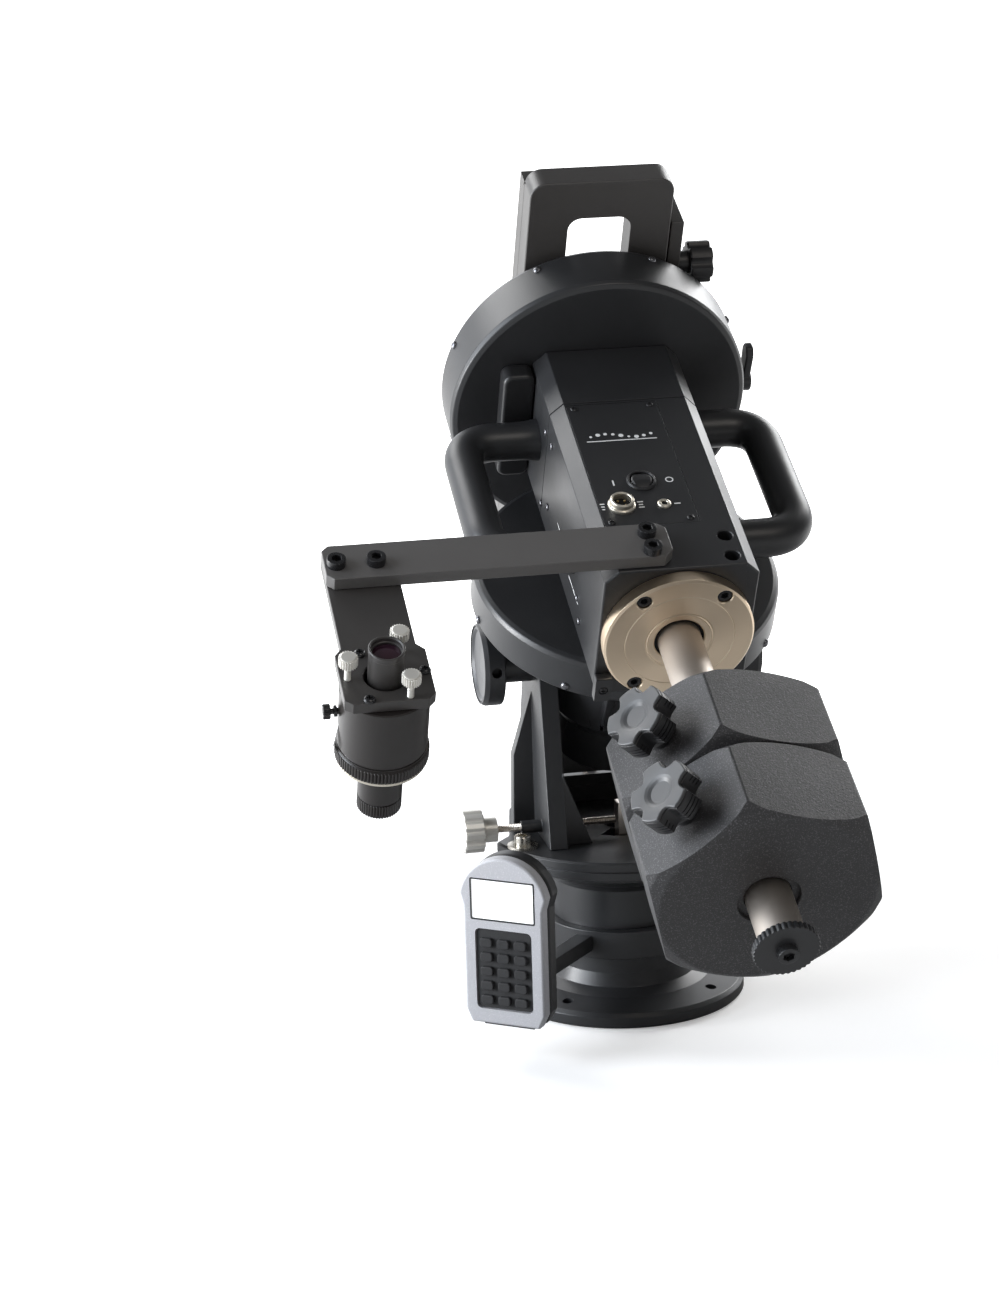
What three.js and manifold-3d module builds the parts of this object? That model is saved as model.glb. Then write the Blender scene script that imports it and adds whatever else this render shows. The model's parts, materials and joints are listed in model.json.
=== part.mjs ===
// German equatorial telescope mount, in its home position with the counterweights down.
// Millimetres, +Z up. The origin is the centre of the pier face. +Y is south, and the pole lies to -Y.
//
// The inclined parts share one "head" frame, centred on the counterweight flange's outer face:
//   x = across the mount, y = along the declination axis to the saddle, z = along the polar axis.

import * as THREE from 'three';
import { mergeVertices } from 'three/addons/utils/BufferGeometryUtils.js';
import Module from 'manifold-3d';

const wasm = await Module();
wasm.setup();

// ---------- driving dimensions ----------
const LATITUDE = 62; // degrees, at rest
const ALT_HEIGHT = 270; // altitude axis above the pier face
const RA_AT = 148.7; // polar axis, along the declination axis
const ALT_AT = -144; // altitude axis, along the polar axis
const GAP = 0.4; // running gap between turning parts
const SHAFT_R = 15.5; // counterweight shaft
const FLANGE_R = 54;
const BOX_X = 55.5; // declination housing, half width
const BOX_FRONT = 56.4;
const BOX_BACK = -56.2;
const BOX_END = 12; // housing end face
const CHAMFER = 9.7;
const DRUM_R = 115;
const RA_DRUM = [-91, -56.8]; // along the polar axis
const DEC_DRUM = [270.3, 318]; // along the declination axis
const WHEEL_R = 95;
const WORM_R = 7;
const SADDLE_AT = 322.4;
const SADDLE_HALF = 170;
const SADDLE_T = 22;
const SADDLE_KNOBS = [85, -85];
const CW_R = 84;
const CW_LONG = 69;
const CW_TOPS = [-112, -182];
const PIER_BOSS_R = 14; // middle of the pier face, for a centre bolt from below
const TURNTABLE = [120, 135];
const TURNTABLE_R = 104;
const ARM_X = [53, 67];
// Places on the head's front, across and along the declination axis.
const SCOPE = [-222, -73.5]; // polar scope axis
const ROCKER = [-8.5, 109.3];
const ROCKER_R = 7.8;
const CONNECTOR = [-28.6, 83.5];
const JACK = [2.1, 82.1];
const RING = [-13.6, -3.1]; // focus ring, along the polar axis
const BAR_Y = [15, 50.5];
const BAR_T = 9.8;
const PLATE_T = 8.5;
const HANDLE_R = 14.5;
const SCREW_Y = -25; // azimuth screws
const SCREW_Z = ALT_HEIGHT - 124.2;
const LIFT_Y = 104; // altitude screw
const RA_LEVER_X = 76;
const [BIG_ROUND, ROUND, SMALL_ROUND] = [36, 24, 12]; // sides of a turned piece
const HANDSET = { at: [-114, -131, 98], turn: -35, wide: 70, tall: 132, thick: 26 };

// ---------- materials ----------
const paint = (color, roughness, metalness) =>
  new THREE.MeshStandardMaterial({ color, roughness, metalness });
const BLACK = paint(0x222325, 0.5, 0.3);
const CAST = paint(0x2b2d30, 0.65, 0.3);
const ANODISED = paint(0x1b1b1c, 0.4, 0.6);
const STEEL = paint(0xb9aea0, 0.3, 1);
const CREAM = paint(0xc9c7bf, 0.4, 0.7);
const PLASTIC = paint(0x202022, 0.5, 0);
const BRASS = paint(0xb4904a, 0.35, 1);
const BRONZE = paint(0x8a6a3c, 0.4, 1);
const RUBBER = paint(0x1a1a1a, 0.85, 0);
const SCREEN = paint(0xe8ece8, 0.2, 0);
const GREY = paint(0x9a9ca0, 0.5, 0.1);
const BOARD = paint(0x1f5a35, 0.6, 0);

// ---------- solids ----------
function signedVolume(position, index) {
  const a = new THREE.Vector3();
  const b = new THREE.Vector3();
  const c = new THREE.Vector3();
  let total = 0;
  for (let i = 0; i < index.length; i += 3) {
    a.fromBufferAttribute(position, index[i]);
    b.fromBufferAttribute(position, index[i + 1]);
    c.fromBufferAttribute(position, index[i + 2]);
    total += a.dot(b.cross(c));
  }
  return total;
}

// One closed manifold from a geometry, with shared vertices, no empty triangles and its faces pointing out.
function solid(geometry) {
  const bare = geometry.clone();
  bare.deleteAttribute('normal');
  bare.deleteAttribute('uv');
  const merged = mergeVertices(bare, 1e-3);
  const source = merged.index.array;
  const index = [];
  for (let i = 0; i < source.length; i += 3) {
    const [a, b, c] = [source[i], source[i + 1], source[i + 2]];
    if (a !== b && b !== c && c !== a) index.push(a, b, c);
  }
  if (signedVolume(merged.attributes.position, index) < 0) index.reverse();
  return new wasm.Manifold(new wasm.Mesh({
    numProp: 3,
    vertProperties: new Float32Array(merged.attributes.position.array),
    triVerts: new Uint32Array(index),
  }));
}

function geometryOf(manifold) {
  const result = manifold.getMesh();
  const geometry = new THREE.BufferGeometry();
  geometry.setAttribute('position', new THREE.BufferAttribute(new Float32Array(result.vertProperties), 3));
  geometry.setIndex(new THREE.BufferAttribute(new Uint32Array(result.triVerts), 1));
  geometry.computeVertexNormals();
  return geometry;
}

const join = (...parts) => parts.map(solid).reduce((a, b) => a.add(b));
const cut = (body, ...tools) => tools.map(solid).reduce((a, b) => a.subtract(b), body);

function piece(group, name, shape, material) {
  const manifold = shape.isBufferGeometry ? solid(shape) : shape;
  const mesh = new THREE.Mesh(geometryOf(manifold), material);
  mesh.name = name;
  group.add(mesh);
}

const block = (x0, x1, y0, y1, z0, z1) => new THREE.BoxGeometry(x1 - x0, y1 - y0, z1 - z0)
  .translate((x0 + x1) / 2, (y0 + y1) / 2, (z0 + z1) / 2);

// Turns a shape made about +Y to the named axis, then moves it to the other two coordinates.
function along(geometry, axis, a, b) {
  if (axis === 'x') return geometry.rotateZ(-Math.PI / 2).translate(0, a, b);
  if (axis === 'z') return geometry.rotateX(Math.PI / 2).translate(a, b, 0);
  return geometry.translate(a, 0, b);
}

function rod(axis, radius, from, to, a = 0, b = 0, segments = SMALL_ROUND) {
  const shape = new THREE.CylinderGeometry(radius, radius, to - from, segments);
  return along(shape.translate(0, (from + to) / 2, 0), axis, a, b);
}

// A profile of [radius, place along the axis] pairs, turned about the axis.
function turned(axis, profile, a = 0, b = 0, segments = ROUND) {
  const points = profile.map(([radius, place]) => new THREE.Vector2(radius, place));
  return along(new THREE.LatheGeometry(points, segments), axis, a, b);
}

// An outline in the plane across the axis, carried from one place to another. The outline's pairs are
// (x, y) for z, (y, z) for x and (x, z) for y.
function slab(axis, outline, from, to) {
  const shape = new THREE.Shape(outline.map(([u, v]) => new THREE.Vector2(u, v)));
  const body = new THREE.ExtrudeGeometry(shape, { depth: to - from, bevelEnabled: false });
  body.translate(0, 0, from);
  const turns = {
    z: new THREE.Matrix4(),
    x: new THREE.Matrix4().set(0, 0, 1, 0, 1, 0, 0, 0, 0, 1, 0, 0, 0, 0, 0, 1),
    y: new THREE.Matrix4().set(1, 0, 0, 0, 0, 0, 1, 0, 0, 1, 0, 0, 0, 0, 0, 1),
  };
  return body.applyMatrix4(turns[axis]);
}

function arc(radius, from, to, steps, u = 0, v = 0) {
  return Array.from({ length: steps + 1 }, (_, i) => {
    const angle = THREE.MathUtils.degToRad(from + (to - from) * i / steps);
    return [u + radius * Math.cos(angle), v + radius * Math.sin(angle)];
  });
}

// A rectangle with cut or rounded corners.
function softBox(u0, u1, v0, v1, corner, steps = 1) {
  const c = corner;
  return [
    ...arc(c, -90, 0, steps, u1 - c, v0 + c),
    ...arc(c, 0, 90, steps, u1 - c, v1 - c),
    ...arc(c, 90, 180, steps, u0 + c, v1 - c),
    ...arc(c, 180, 270, steps, u0 + c, v0 + c),
  ];
}

function pipe(path, radius, steps, sides = 14) {
  const points = arc(radius, 0, 360 - 360 / sides, sides - 1).map(([u, v]) => new THREE.Vector2(u, v));
  const ring = new THREE.Shape(points);
  return new THREE.ExtrudeGeometry(ring, { steps, extrudePath: path, bevelEnabled: false });
}

const mirrored = (geometry) => geometry.clone().scale(-1, 1, 1);

// ---------- pier adapter and hand controller ----------
function pierAdapter() {
  const table = TURNTABLE[0] - GAP;
  const top = TURNTABLE[1] + 4;
  const profile = [[0, 0], [PIER_BOSS_R, 0], [PIER_BOSS_R, 100], [44, 100], [44, 0], [95, 0], [95, 10],
    [93, 12], [66, 16], [54, 30], [54, 96], [70, 108], [70, table], [12, table], [12, top], [0, top]];
  const bolts = arc(80, 45, 315, 3).map(([x, y]) => rod('z', 4.3, -1, 20, x, y, 12));
  return cut(solid(turned('z', profile)), ...bolts);
}

function azimuthPost() {
  return block(-8, 8, SCREW_Y - 7, SCREW_Y + 7, TURNTABLE[0] - GAP, SCREW_Z + 14);
}

// A clamp ring round the pier adapter, with an arm out to a plate and a ledge that carry the hand controller.
function handsetHolder() {
  const { at, turn, tall, thick } = HANDSET;
  const ring = cut(solid(turned('z', [[54.3, 44], [62, 44], [62, 66], [54.3, 66], [54.3, 44]])),
    block(50, 70, -6, 6, 40, 70));
  const out = Math.hypot(at[0], at[1]);
  const bearing = THREE.MathUtils.radToDeg(Math.atan2(at[0], -at[1]));
  const arm = solid(block(-7, 7, -(out - thick / 2 - 2), -58, 50, 62)).rotate([0, 0, bearing]);
  const back = thick / 2 + 0.4;
  const low = -tall / 2 - 0.4;
  const cradle = join(block(-20, 20, back, back + 4, low - 3, 30),
    block(-20, 20, -6, back + 4, low - 3, low));
  return ring.add(arm).add(cradle.rotate([0, 0, turn]).translate(at));
}

function handsetOutline(inset, bottom, top) {
  const half = HANDSET.wide / 2 - inset;
  const neck = 0.9 * half;
  const shoulder = top - half * 0.8;
  return [
    [-neck * 0.86, bottom], [neck * 0.86, bottom], [neck, bottom + 10], [neck, shoulder - 10],
    [half, shoulder],
    ...arc(half, 14, 166, 12, 0, shoulder - half * 0.2),
    [-half, shoulder], [-neck, shoulder - 10], [-neck, bottom + 10],
  ];
}

function addHandset(group) {
  const { tall, thick } = HANDSET;
  const low = -tall / 2;
  const high = tall / 2 - 4;
  const mid = -2;
  const frontFace = -thick / 2;
  const backShell = cut(solid(slab('y', handsetOutline(0, low, high), mid + 0.2, thick / 2)),
    slab('y', handsetOutline(3, low + 3, high - 3), mid - 1, thick / 2 - 3));
  const window = block(-24.5, 24.5, -thick, 0, high - 47, high - 17);
  const keyHole = block(-22, 22, -thick, 0, low + 12, high - 55);
  const frontShell = cut(solid(slab('y', handsetOutline(0, low, high), frontFace, mid)),
    slab('y', handsetOutline(3, low + 3, high - 3), frontFace + 3, 1), window, keyHole);
  const display = block(-25.5, 25.5, frontFace + 3.3, frontFace + 6, high - 48, high - 16.2);
  const keys = [];
  for (let row = 0; row < 5; row += 1) {
    for (let column = 0; column < 3; column += 1) {
      const x = (column - 1) * 13.5;
      const z = low + 19 + row * 11;
      keys.push(block(x - 4.8, x + 4.8, frontFace - 1.6, frontFace + 4, z - 3.4, z + 3.4));
    }
  }
  const mat = block(-23.5, 23.5, frontFace + 3.3, frontFace + 5, low + 10.5, high - 53.5);
  piece(group, 'handset_back', backShell, PLASTIC);
  piece(group, 'handset_front', frontShell, GREY);
  piece(group, 'handset_display', display, SCREEN);
  piece(group, 'handset_keypad', join(mat, ...keys), RUBBER);
}

// ---------- azimuth fork ----------
function turntable() {
  const [low, high] = TURNTABLE;
  const disc = turned('z', [[0, low], [TURNTABLE_R - 2, low], [TURNTABLE_R, low + 2], [TURNTABLE_R, high - 2],
    [TURNTABLE_R - 2, high], [0, high]], 0, 0, BIG_ROUND);
  const slot = slab('z', [...arc(34.5, -128, -52, 10), ...arc(16.5, -52, -128, 6)], low - 1, high + 1);
  return cut(solid(disc), rod('z', 12 + GAP, low - 1, high + 1, 0, 0, 20), slot,
    block(-25, 25, 82, 120, low - 1, high + 1));
}

function forkArm() {
  const base = TURNTABLE[1];
  const h = ALT_HEIGHT;
  const side = [[-57, base], [75, base], [30.2, h - 4], ...arc(30.5, -4, 184, 14, 0, h)];
  const plate = slab('x', side, ARM_X[0], ARM_X[1]);
  const flare = [[66, h - 15], [77, h - 22], [81, h - 52], [86, h - 82], [88, base], [66, base]];
  const rib = slab('y', flare, -18, -4);
  const boss = rod('x', 10, 66, 87.5, SCREW_Y, SCREW_Z, 20);
  const gusset = slab('y', [[54, h - 78], [54, base], [32, base]], -47, -37);
  const frontPocket = slab('x', [[-25, h - 36], [-18.2, h - 36], [-18.2, h - 111], [-40, h - 111]], 60, 90);
  const backPocket = slab('x', [[-3.8, h - 36], [20, h - 36], [46, h - 118], [-3.8, h - 118]], 60, 90);
  const body = join(plate, rib, boss, gusset);
  return cut(body, frontPocket, backPocket, rod('x', 10, 40, 100, 0, h, 24),
    rod('x', 3.6, 20, 100, SCREW_Y, SCREW_Z, 12));
}

function altitudeBracket() {
  const base = TURNTABLE[1];
  const plate = slab('z', [[-30, 60], [30, 60], [30, 86], [14, 118], [-14, 118], [-30, 86]], base, base + 14);
  return cut(solid(plate), rod('z', 6 + GAP, base - 1, base + 20, 0, LIFT_Y, 16));
}

// The housing's ear dips into the clevis as the head tilts, so the clevis's slot is deep.
function altitudeScrew() {
  const eye = ALT_HEIGHT - 45.6;
  const slotFloor = eye - 22;
  const lever = rod('z', 6, 14, slotFloor - 2, 0, LIFT_Y, 16);
  const wheel = turned('z', [[0, 19], [18, 19], [20, 21], [20, 31], [18, 33], [0, 33]], 0, LIFT_Y, 20);
  const clevis = cut(solid(block(-10, 10, LIFT_Y - 7, LIFT_Y + 7, slotFloor - 7, eye + 8)),
    block(-5.6, 5.6, LIFT_Y - 9, LIFT_Y + 9, slotFloor, eye + 9),
    block(-12, 12, LIFT_Y - 3.5, LIFT_Y + 3.5, eye - 8, eye + 4));
  return join(lever, wheel).add(clevis).subtract(solid(block(-30, 30, 60, 140, 0, 19)));
}

// A lobed hand knob about the axis, with a shallow dish in its outer face.
function lobed(radius, lobes, depth, steps = 8) {
  return Array.from({ length: lobes * steps }, (_, i) => {
    const angle = i / (lobes * steps) * 2 * Math.PI;
    const dip = Math.max(0, -Math.cos(lobes * angle)) ** 0.8;
    const r = radius - depth * dip;
    return [r * Math.cos(angle), r * Math.sin(angle)];
  });
}

function shifted(outline, u, v) {
  return outline.map(([a, b]) => [a + u, b + v]);
}

function azimuthKnob() {
  const grip = slab('x', shifted(lobed(16.5, 12, 1.6, 4), SCREW_Y, SCREW_Z), 113.2, 128.6);
  const hub = rod('x', 9.5, 102.4, 114, SCREW_Y, SCREW_Z, 20);
  return join(grip, hub).subtract(solid(rod('x', 3.1, 90, 110, SCREW_Y, SCREW_Z, 12)));
}

const azimuthScrew = () => rod('x', 3, 9.2, 109.5, SCREW_Y, SCREW_Z);

function altitudeLock() {
  const h = ALT_HEIGHT;
  const profile = [[0, 34], [9.7, 34], [9.7, ARM_X[1] + GAP], [16, ARM_X[1] + GAP],
    [16, 92], [30, 92], [32, 94],
    [32, 105], [29, 108], [27, 108], [24, 105.4], [10, 104.4], [0, 104.2]];
  const tommy = rod('z', 4, h - 40, h - 22, 99, 0, 12);
  return cut(solid(turned('x', profile, 0, h, 28)), tommy);
}

// ---------- right ascension housing, in the head frame ----------
function raHousing() {
  const a = ALT_AT;
  const profile = [[22, a - 85], [44, a - 85], [44, a - 46], [50, a - 36], [50, a + 36], [66, a + 44],
    [66, RA_DRUM[0] - 0.1], [22, RA_DRUM[0] - 0.1], [22, a - 85]];
  const tube = turned('z', profile, 0, RA_AT);
  const trunnion = rod('x', 24, -52.6, 52.6, RA_AT, a, 24);
  const outline = [[40, -56], [40, -84], [62, -95], [73, -91], [72, -80]];
  const ear = slab('x', outline.map(([y, z]) => [RA_AT + y, a + z]), -5, 5);
  return cut(join(tube, trunnion, ear), rod('z', 22, a - 90, RA_DRUM[0] + 1, 0, RA_AT, ROUND),
    rod('x', 10, 33, 60, RA_AT, a, 24), rod('x', 10, -60, -33, RA_AT, a, 24));
}

function raDrum() {
  const [low, high] = RA_DRUM;
  const r = DRUM_R;
  const profile = [[24, low], [r - 3, low], [r, low + 3], [r, high - 7], [r - 2, high - 2.5], [r - 7, high],
    [46, high], [46, high - 6], [r - 9, high - 6], [r - 9, low + 7], [24, low + 7], [24, low]];
  return cut(solid(turned('z', profile, 0, RA_AT, BIG_ROUND)),
    block(-28, 28, RA_AT + 90, RA_AT + 110, low + 7.5, high - 7),
    rod('z', 4.4, low - 1, low + 8, RA_LEVER_X, RA_AT));
}

function wheel(axis, from, to, hub, bore, a, b) {
  const middle = (from + to) / 2;
  return turned(axis, [[bore, from], [hub, from], [hub, middle - 4], [WHEEL_R, middle - 4],
    [WHEEL_R, middle + 4], [hub, middle + 4], [hub, to], [bore, to], [bore, from]], a, b, BIG_ROUND);
}

const worm = (axis, a, b) => turned(axis, [[0, -24], [3.5, -24], [3.5, -16], [WORM_R, -15], [WORM_R, 15],
  [3.5, 16], [3.5, 24], [0, 24]], a, b, SMALL_ROUND);

function raMotorCover() {
  const y = RA_AT;
  const outline = softBox(y + 68, y + 110, ALT_AT + 6, RA_DRUM[0] - 0.3, 6);
  const inner = softBox(y + 71, y + 107, ALT_AT + 9, RA_DRUM[0] + 9, 3);
  return cut(solid(slab('x', outline, -38, 38)), slab('x', inner, -35, 35));
}

// A clutch lever made about +Y, with its paddle towards +Z and its stem reaching back from y = 0.
function clutchLever() {
  const paddle = slab('y', [[-5, 0], [-7, 28], [0, 34], [7, 28], [5, 0]], 2, 8);
  return join(rod('y', 8.5, 0, 9), paddle, rod('y', 4, -8, 1));
}

// ---------- declination housing, in the head frame ----------
function decHousing() {
  const c = CHAMFER;
  const top = DEC_DRUM[0] - 0.3;
  const body = slab('y', softBox(-BOX_X, BOX_X, BOX_BACK, BOX_FRONT, c), BOX_END, top);
  const seat = 20.5;
  const bore = turned('y', [[0, 45], [28, 45], [28, 66], [seat, 66], [seat, 84], [30, 84], [30, 236],
    [seat, 236],
    [seat, 258], [30, 258], [30, top + 1], [0, top + 1]], 0, 0, ROUND);
  const polar = rod('z', 14, BOX_BACK - 1, -20, 0, RA_AT, 24);
  const tray = block(-40, 18, 66, 197, 36, BOX_FRONT - 2.5);
  const lid = block(-45.3, 23.3, 60.7, 202.3, BOX_FRONT - 2.9, BOX_FRONT + 1);
  const spare = [[37, 43.8], [37, 22]].map(([x, y]) => rod('z', 4, 44, 60, x, y, 16));
  const shaft = rod('y', SHAFT_R + GAP, BOX_END - 1, 46, 0, 0, ROUND);
  return cut(solid(body), bore, shaft, polar, tray, lid, ...spare);
}

function frontPanel() {
  const sheet = block(-45, 23, 61, 202, BOX_FRONT - 2.5, BOX_FRONT);
  const [f, inner] = [BOX_FRONT, ROCKER_R + 0.8];
  const bezel = turned('z', [[inner, f - 1], [inner + 1.6, f - 1], [inner + 1, f + 2.2], [inner, f + 2.2],
    [inner, f - 1]], ...ROCKER, 20);
  return cut(join(sheet, bezel), rod('z', inner, 40, 70, ...ROCKER, 20), rod('z', 7, 40, 70, ...CONNECTOR),
    rod('z', 3, 40, 70, ...JACK, 16));
}

// A round rocker with a domed face, pivoted just behind the panel's face.
function powerSwitch() {
  const [x, y] = ROCKER;
  const dome = rod('x', 15, x - 7.2, x + 7.2, y, BOX_FRONT - 12.2, 40);
  const round = rod('z', ROCKER_R, BOX_FRONT - 5, BOX_FRONT + 5, x, y, 28);
  return solid(dome).intersect(solid(round));
}

function powerConnector() {
  const f = BOX_FRONT;
  const shell = turned('z', [[0, f - 9], [6.6, f - 9], [6.6, f + 0.2], [8.9, f + 0.2], [8.9, f + 2],
    [8, f + 2.5],
    [8, f + 6], [6.8, f + 6], [6.8, f + 1], [0, f + 1]], ...CONNECTOR, 20);
  const pins = arc(3.4, 0, 270, 3, ...CONNECTOR).map(([x, y]) => rod('z', 0.9, f, f + 5, x, y, 6));
  return join(shell, ...pins);
}

const snapJack = () => turned('z', [[0, BOX_FRONT - 9], [2.7, BOX_FRONT - 9], [2.7, BOX_FRONT + 0.2],
  [4, BOX_FRONT + 0.2], [4, BOX_FRONT + 2.4], [1.9, BOX_FRONT + 2.4], [1.9, BOX_FRONT - 5],
  [0, BOX_FRONT - 5]],
...JACK, SMALL_ROUND);

function handle() {
  const x = -BOX_X - 0.2;
  const grip = -115.5;
  const [low, high] = [104, 236];
  const turn = 27;
  const path = new THREE.CurvePath();
  const at = (u, v) => new THREE.Vector3(u, v, 0);
  path.add(new THREE.LineCurve3(at(x, low), at(grip + turn, low)));
  path.add(new THREE.QuadraticBezierCurve3(at(grip + turn, low), at(grip, low), at(grip, low + turn)));
  path.add(new THREE.LineCurve3(at(grip, low + turn), at(grip, high - turn)));
  path.add(new THREE.QuadraticBezierCurve3(at(grip, high - turn), at(grip, high), at(grip + turn, high)));
  path.add(new THREE.LineCurve3(at(grip + turn, high), at(x, high)));
  return pipe(path, HANDLE_R, 22, 12);
}

function counterweightFlange() {
  const r = FLANGE_R;
  const profile = [[SHAFT_R + 2.3, 0.6], [22.6, 0.6], [23.2, 0], [r - 2, 0], [r, 2], [r, BOX_END - 0.1],
    [SHAFT_R + 2.3, BOX_END - 0.1], [SHAFT_R + 2.3, 0.6]];
  const corners = [[-1, -1], [-1, 1], [1, -1], [1, 1]];
  const screws = corners.map(([u, v]) => rod('y', 6, -1, 5, 28.7 * u, 37.35 * v, 16));
  return cut(solid(turned('y', profile, 0, 0, BIG_ROUND)), ...screws);
}

const counterweightShaft = () => turned('y', [[0, -290], [SHAFT_R, -290], [SHAFT_R, 40], [0, 40]]);

const shaftEndStop = () =>
  turned('y', [[0, -300], [7, -300], [7, -296], [22, -296], [22, -290.2], [0, -290.2]]);

// A six-sided weight with its corners turned off at both ends. One flat faces the clamp knob.
function counterweight(top) {
  const hex = slab('y', arc(CW_R, -15, 285, 5), top - CW_LONG, top);
  const low = top - CW_LONG;
  const cone = turned('y', [[0, low], [CW_R - 12, low], [CW_R + 1, low + 12], [CW_R + 1, top - 12],
    [CW_R - 12, top],
    [0, top]]);
  const bore = turned('y', [[0, low - 1], [21, low - 1], [21, low + 4], [SHAFT_R + GAP, low + 4],
    [SHAFT_R + GAP, top + 1], [0, top + 1]]);
  const clamp = rod('x', 5.5, 10, CW_R + 10, 0, 0, 16).rotateY(THREE.MathUtils.degToRad(-135))
    .translate(0, top - CW_LONG / 2, 0);
  return solid(hex).intersect(solid(cone)).subtract(solid(bore)).subtract(solid(clamp));
}

function counterweightKnob(top) {
  const face = CW_R * Math.cos(Math.PI / 6);
  const grip = slab('x', lobed(22.5, 5, 4.5, 6), face + 12, face + 30);
  const neck = rod('x', 10, face + 1, face + 13, 0, 0, 20);
  const stud = rod('x', 5, SHAFT_R + 1, face + 13, 0, 0, 16);
  const dish = turned('x', [[0, face + 27], [7, face + 27.6], [10.5, face + 31], [0, face + 31]], 0, 0, 24);
  return cut(join(grip, neck, stud), dish).rotate([0, -135, 0]).translate([0, top - CW_LONG / 2, 0]);
}

// ---------- off-axis polar scope ----------
function scopeBar() {
  const [low, high] = BAR_Y;
  const outline = [[-248, low + 5], [-243, low], [-13, low], [-6.6, low + 7], [-6.6, high - 5], [-12, high],
    [-243, high], [-248, high - 5]];
  return slab('z', outline, BOX_FRONT + 0.1, BOX_FRONT + BAR_T);
}

function scopePlate() {
  const outline = [[-247.5, 49], [-247.5, -44], [-252.3, -50], [-252.3, -94.5], [-247, -99], [-197, -99],
    [-191.5, -93], [-191.5, -50], [-197, -44], [-197, 49]];
  const [x, y] = SCOPE;
  const face = BOX_FRONT - 0.3;
  return cut(solid(slab('z', outline, face - PLATE_T, face)), rod('z', 15.5, 30, 70, x, y, ROUND),
    ...thumbPlaces().map(([u, v]) => rod('z', 2.4, 30, 70, u, v, 12)));
}

const thumbPlaces = () => arc(25.3, 61, 301, 2, ...SCOPE);

const plateBack = BOX_FRONT - 0.3 - PLATE_T;

function scopeBarrel() {
  const top = plateBack - 0.2;
  const profile = [[16, top], [30.5, top], [30.5, RING[1] + 0.3], [16, RING[1] + 0.3], [16, top]];
  const [x, y] = SCOPE;
  const sideHole = rod('x', 2.4, x - 35, x - 12, y, 28, 12);
  return cut(solid(turned('z', profile, x, y)), sideHole,
    ...thumbPlaces().map(([u, v]) => rod('z', 2.5, 20, 50, u, v, 12)));
}

const scopeTube = () => turned('z', [[0, 4], [12.9, 4], [12.9, 76.5], [13.8, 76.5], [13.8, 80.5],
  [11.6, 80.5],
  [11.6, 75], [0, 75]], ...SCOPE, 24);

const focusRing = () => turned('z', [[15.7, RING[0]], [31, RING[0]], [32, RING[0] + 1], [32, RING[1] - 1],
  [31, RING[1]], [15.7, RING[1]], [15.7, RING[0]]], ...SCOPE);

const eyepiece = () => turned('z', [[0, -62], [13, -62], [15.4, -60.5], [15.4, 0], [0, 0]], ...SCOPE, 24);

function thumbscrew([x, y]) {
  const f = BOX_FRONT;
  const grip = shifted(lobed(6.4, 12, 0.6, 2), x, y);
  return join(rod('z', 2.2, 36, f + 13, x, y, 10), slab('z', grip, f + 12, f + 19.6));
}

function sideScrew() {
  const [x, y] = SCOPE;
  return join(rod('x', 2.2, x - 38, x - 13.5, y, 28), rod('x', 5.2, x - 41, x - 36, y, 28),
    rod('x', 3.6, x - 37, x - 33.5, y, 28));
}

// ---------- declination drum and saddle ----------
function decDrum() {
  const [low, high] = DEC_DRUM;
  const r = DRUM_R;
  const profile = [[31, low], [r - 6, low], [r - 1.5, low + 2.5], [r, low + 7], [r, high - 5], [r - 5, high],
    [46, high], [46, high - 6], [r - 9, high - 6], [r - 9, low + 7], [31, low + 7], [31, low]];
  return cut(solid(turned('y', profile, 0, 0, BIG_ROUND)), block(-28, 28, low + 14, high - 14, -110, -90),
    rod('x', 4.4, r - 12, r + 2, (low + high) / 2, 0));
}

const decShaft = () => turned('y', [[12, 62], [20, 62], [20, 312.4], [44, 312.4], [44, SADDLE_AT - 0.1],
  [12, SADDLE_AT - 0.1], [12, 62]]);

function saddle() {
  const s = SADDLE_AT;
  const h = SADDLE_HALF;
  const plate = slab('y', softBox(-55, 55, -h, h, 12), s, s + SADDLE_T);
  const rail = slab('z', [[-55, s + 21], [-34, s + 21], [-44, s + 38], [-55, s + 38]], -h + 12, h - 12);
  const window = (z) => slab('y', softBox(-24, 24, z - 36, z + 36, 10, 3), s - 1, s + 25);
  const studs = SADDLE_KNOBS.map((z) => rod('x', 4.2, 30, 60, s + 13, z));
  return cut(join(plate, rail), window(-102), window(102), ...studs);
}

function saddleJaw() {
  const s = SADDLE_AT;
  const profile = [[34, s + SADDLE_T + 0.3], [56, s + SADDLE_T + 0.3], [56, s + 1], [66, s + 1], [66, s + 38],
    [44, s + 38]];
  const studs = SADDLE_KNOBS.map((z) => rod('x', 4.2, 50, 70, s + 13, z));
  return cut(solid(slab('z', profile, -130, 130)), ...studs);
}

function saddleKnob(z) {
  const s = SADDLE_AT + 13;
  return join(rod('x', 3.8, 32, 70, s, z), rod('x', 9, 66.3, 76, s, z),
    slab('x', shifted(lobed(16, 6, 3, 6), s, z), 75, 93));
}

// ---------- assembly ----------
function addBase(group) {
  piece(group, 'pier_adapter', pierAdapter(), BLACK);
  piece(group, 'azimuth_post', azimuthPost(), STEEL);
  piece(group, 'handset_holder', handsetHolder(), BLACK);
  const handset = new THREE.Group();
  handset.position.set(...HANDSET.at);
  handset.rotation.z = THREE.MathUtils.degToRad(HANDSET.turn);
  addHandset(handset);
  group.add(handset);
}

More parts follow.
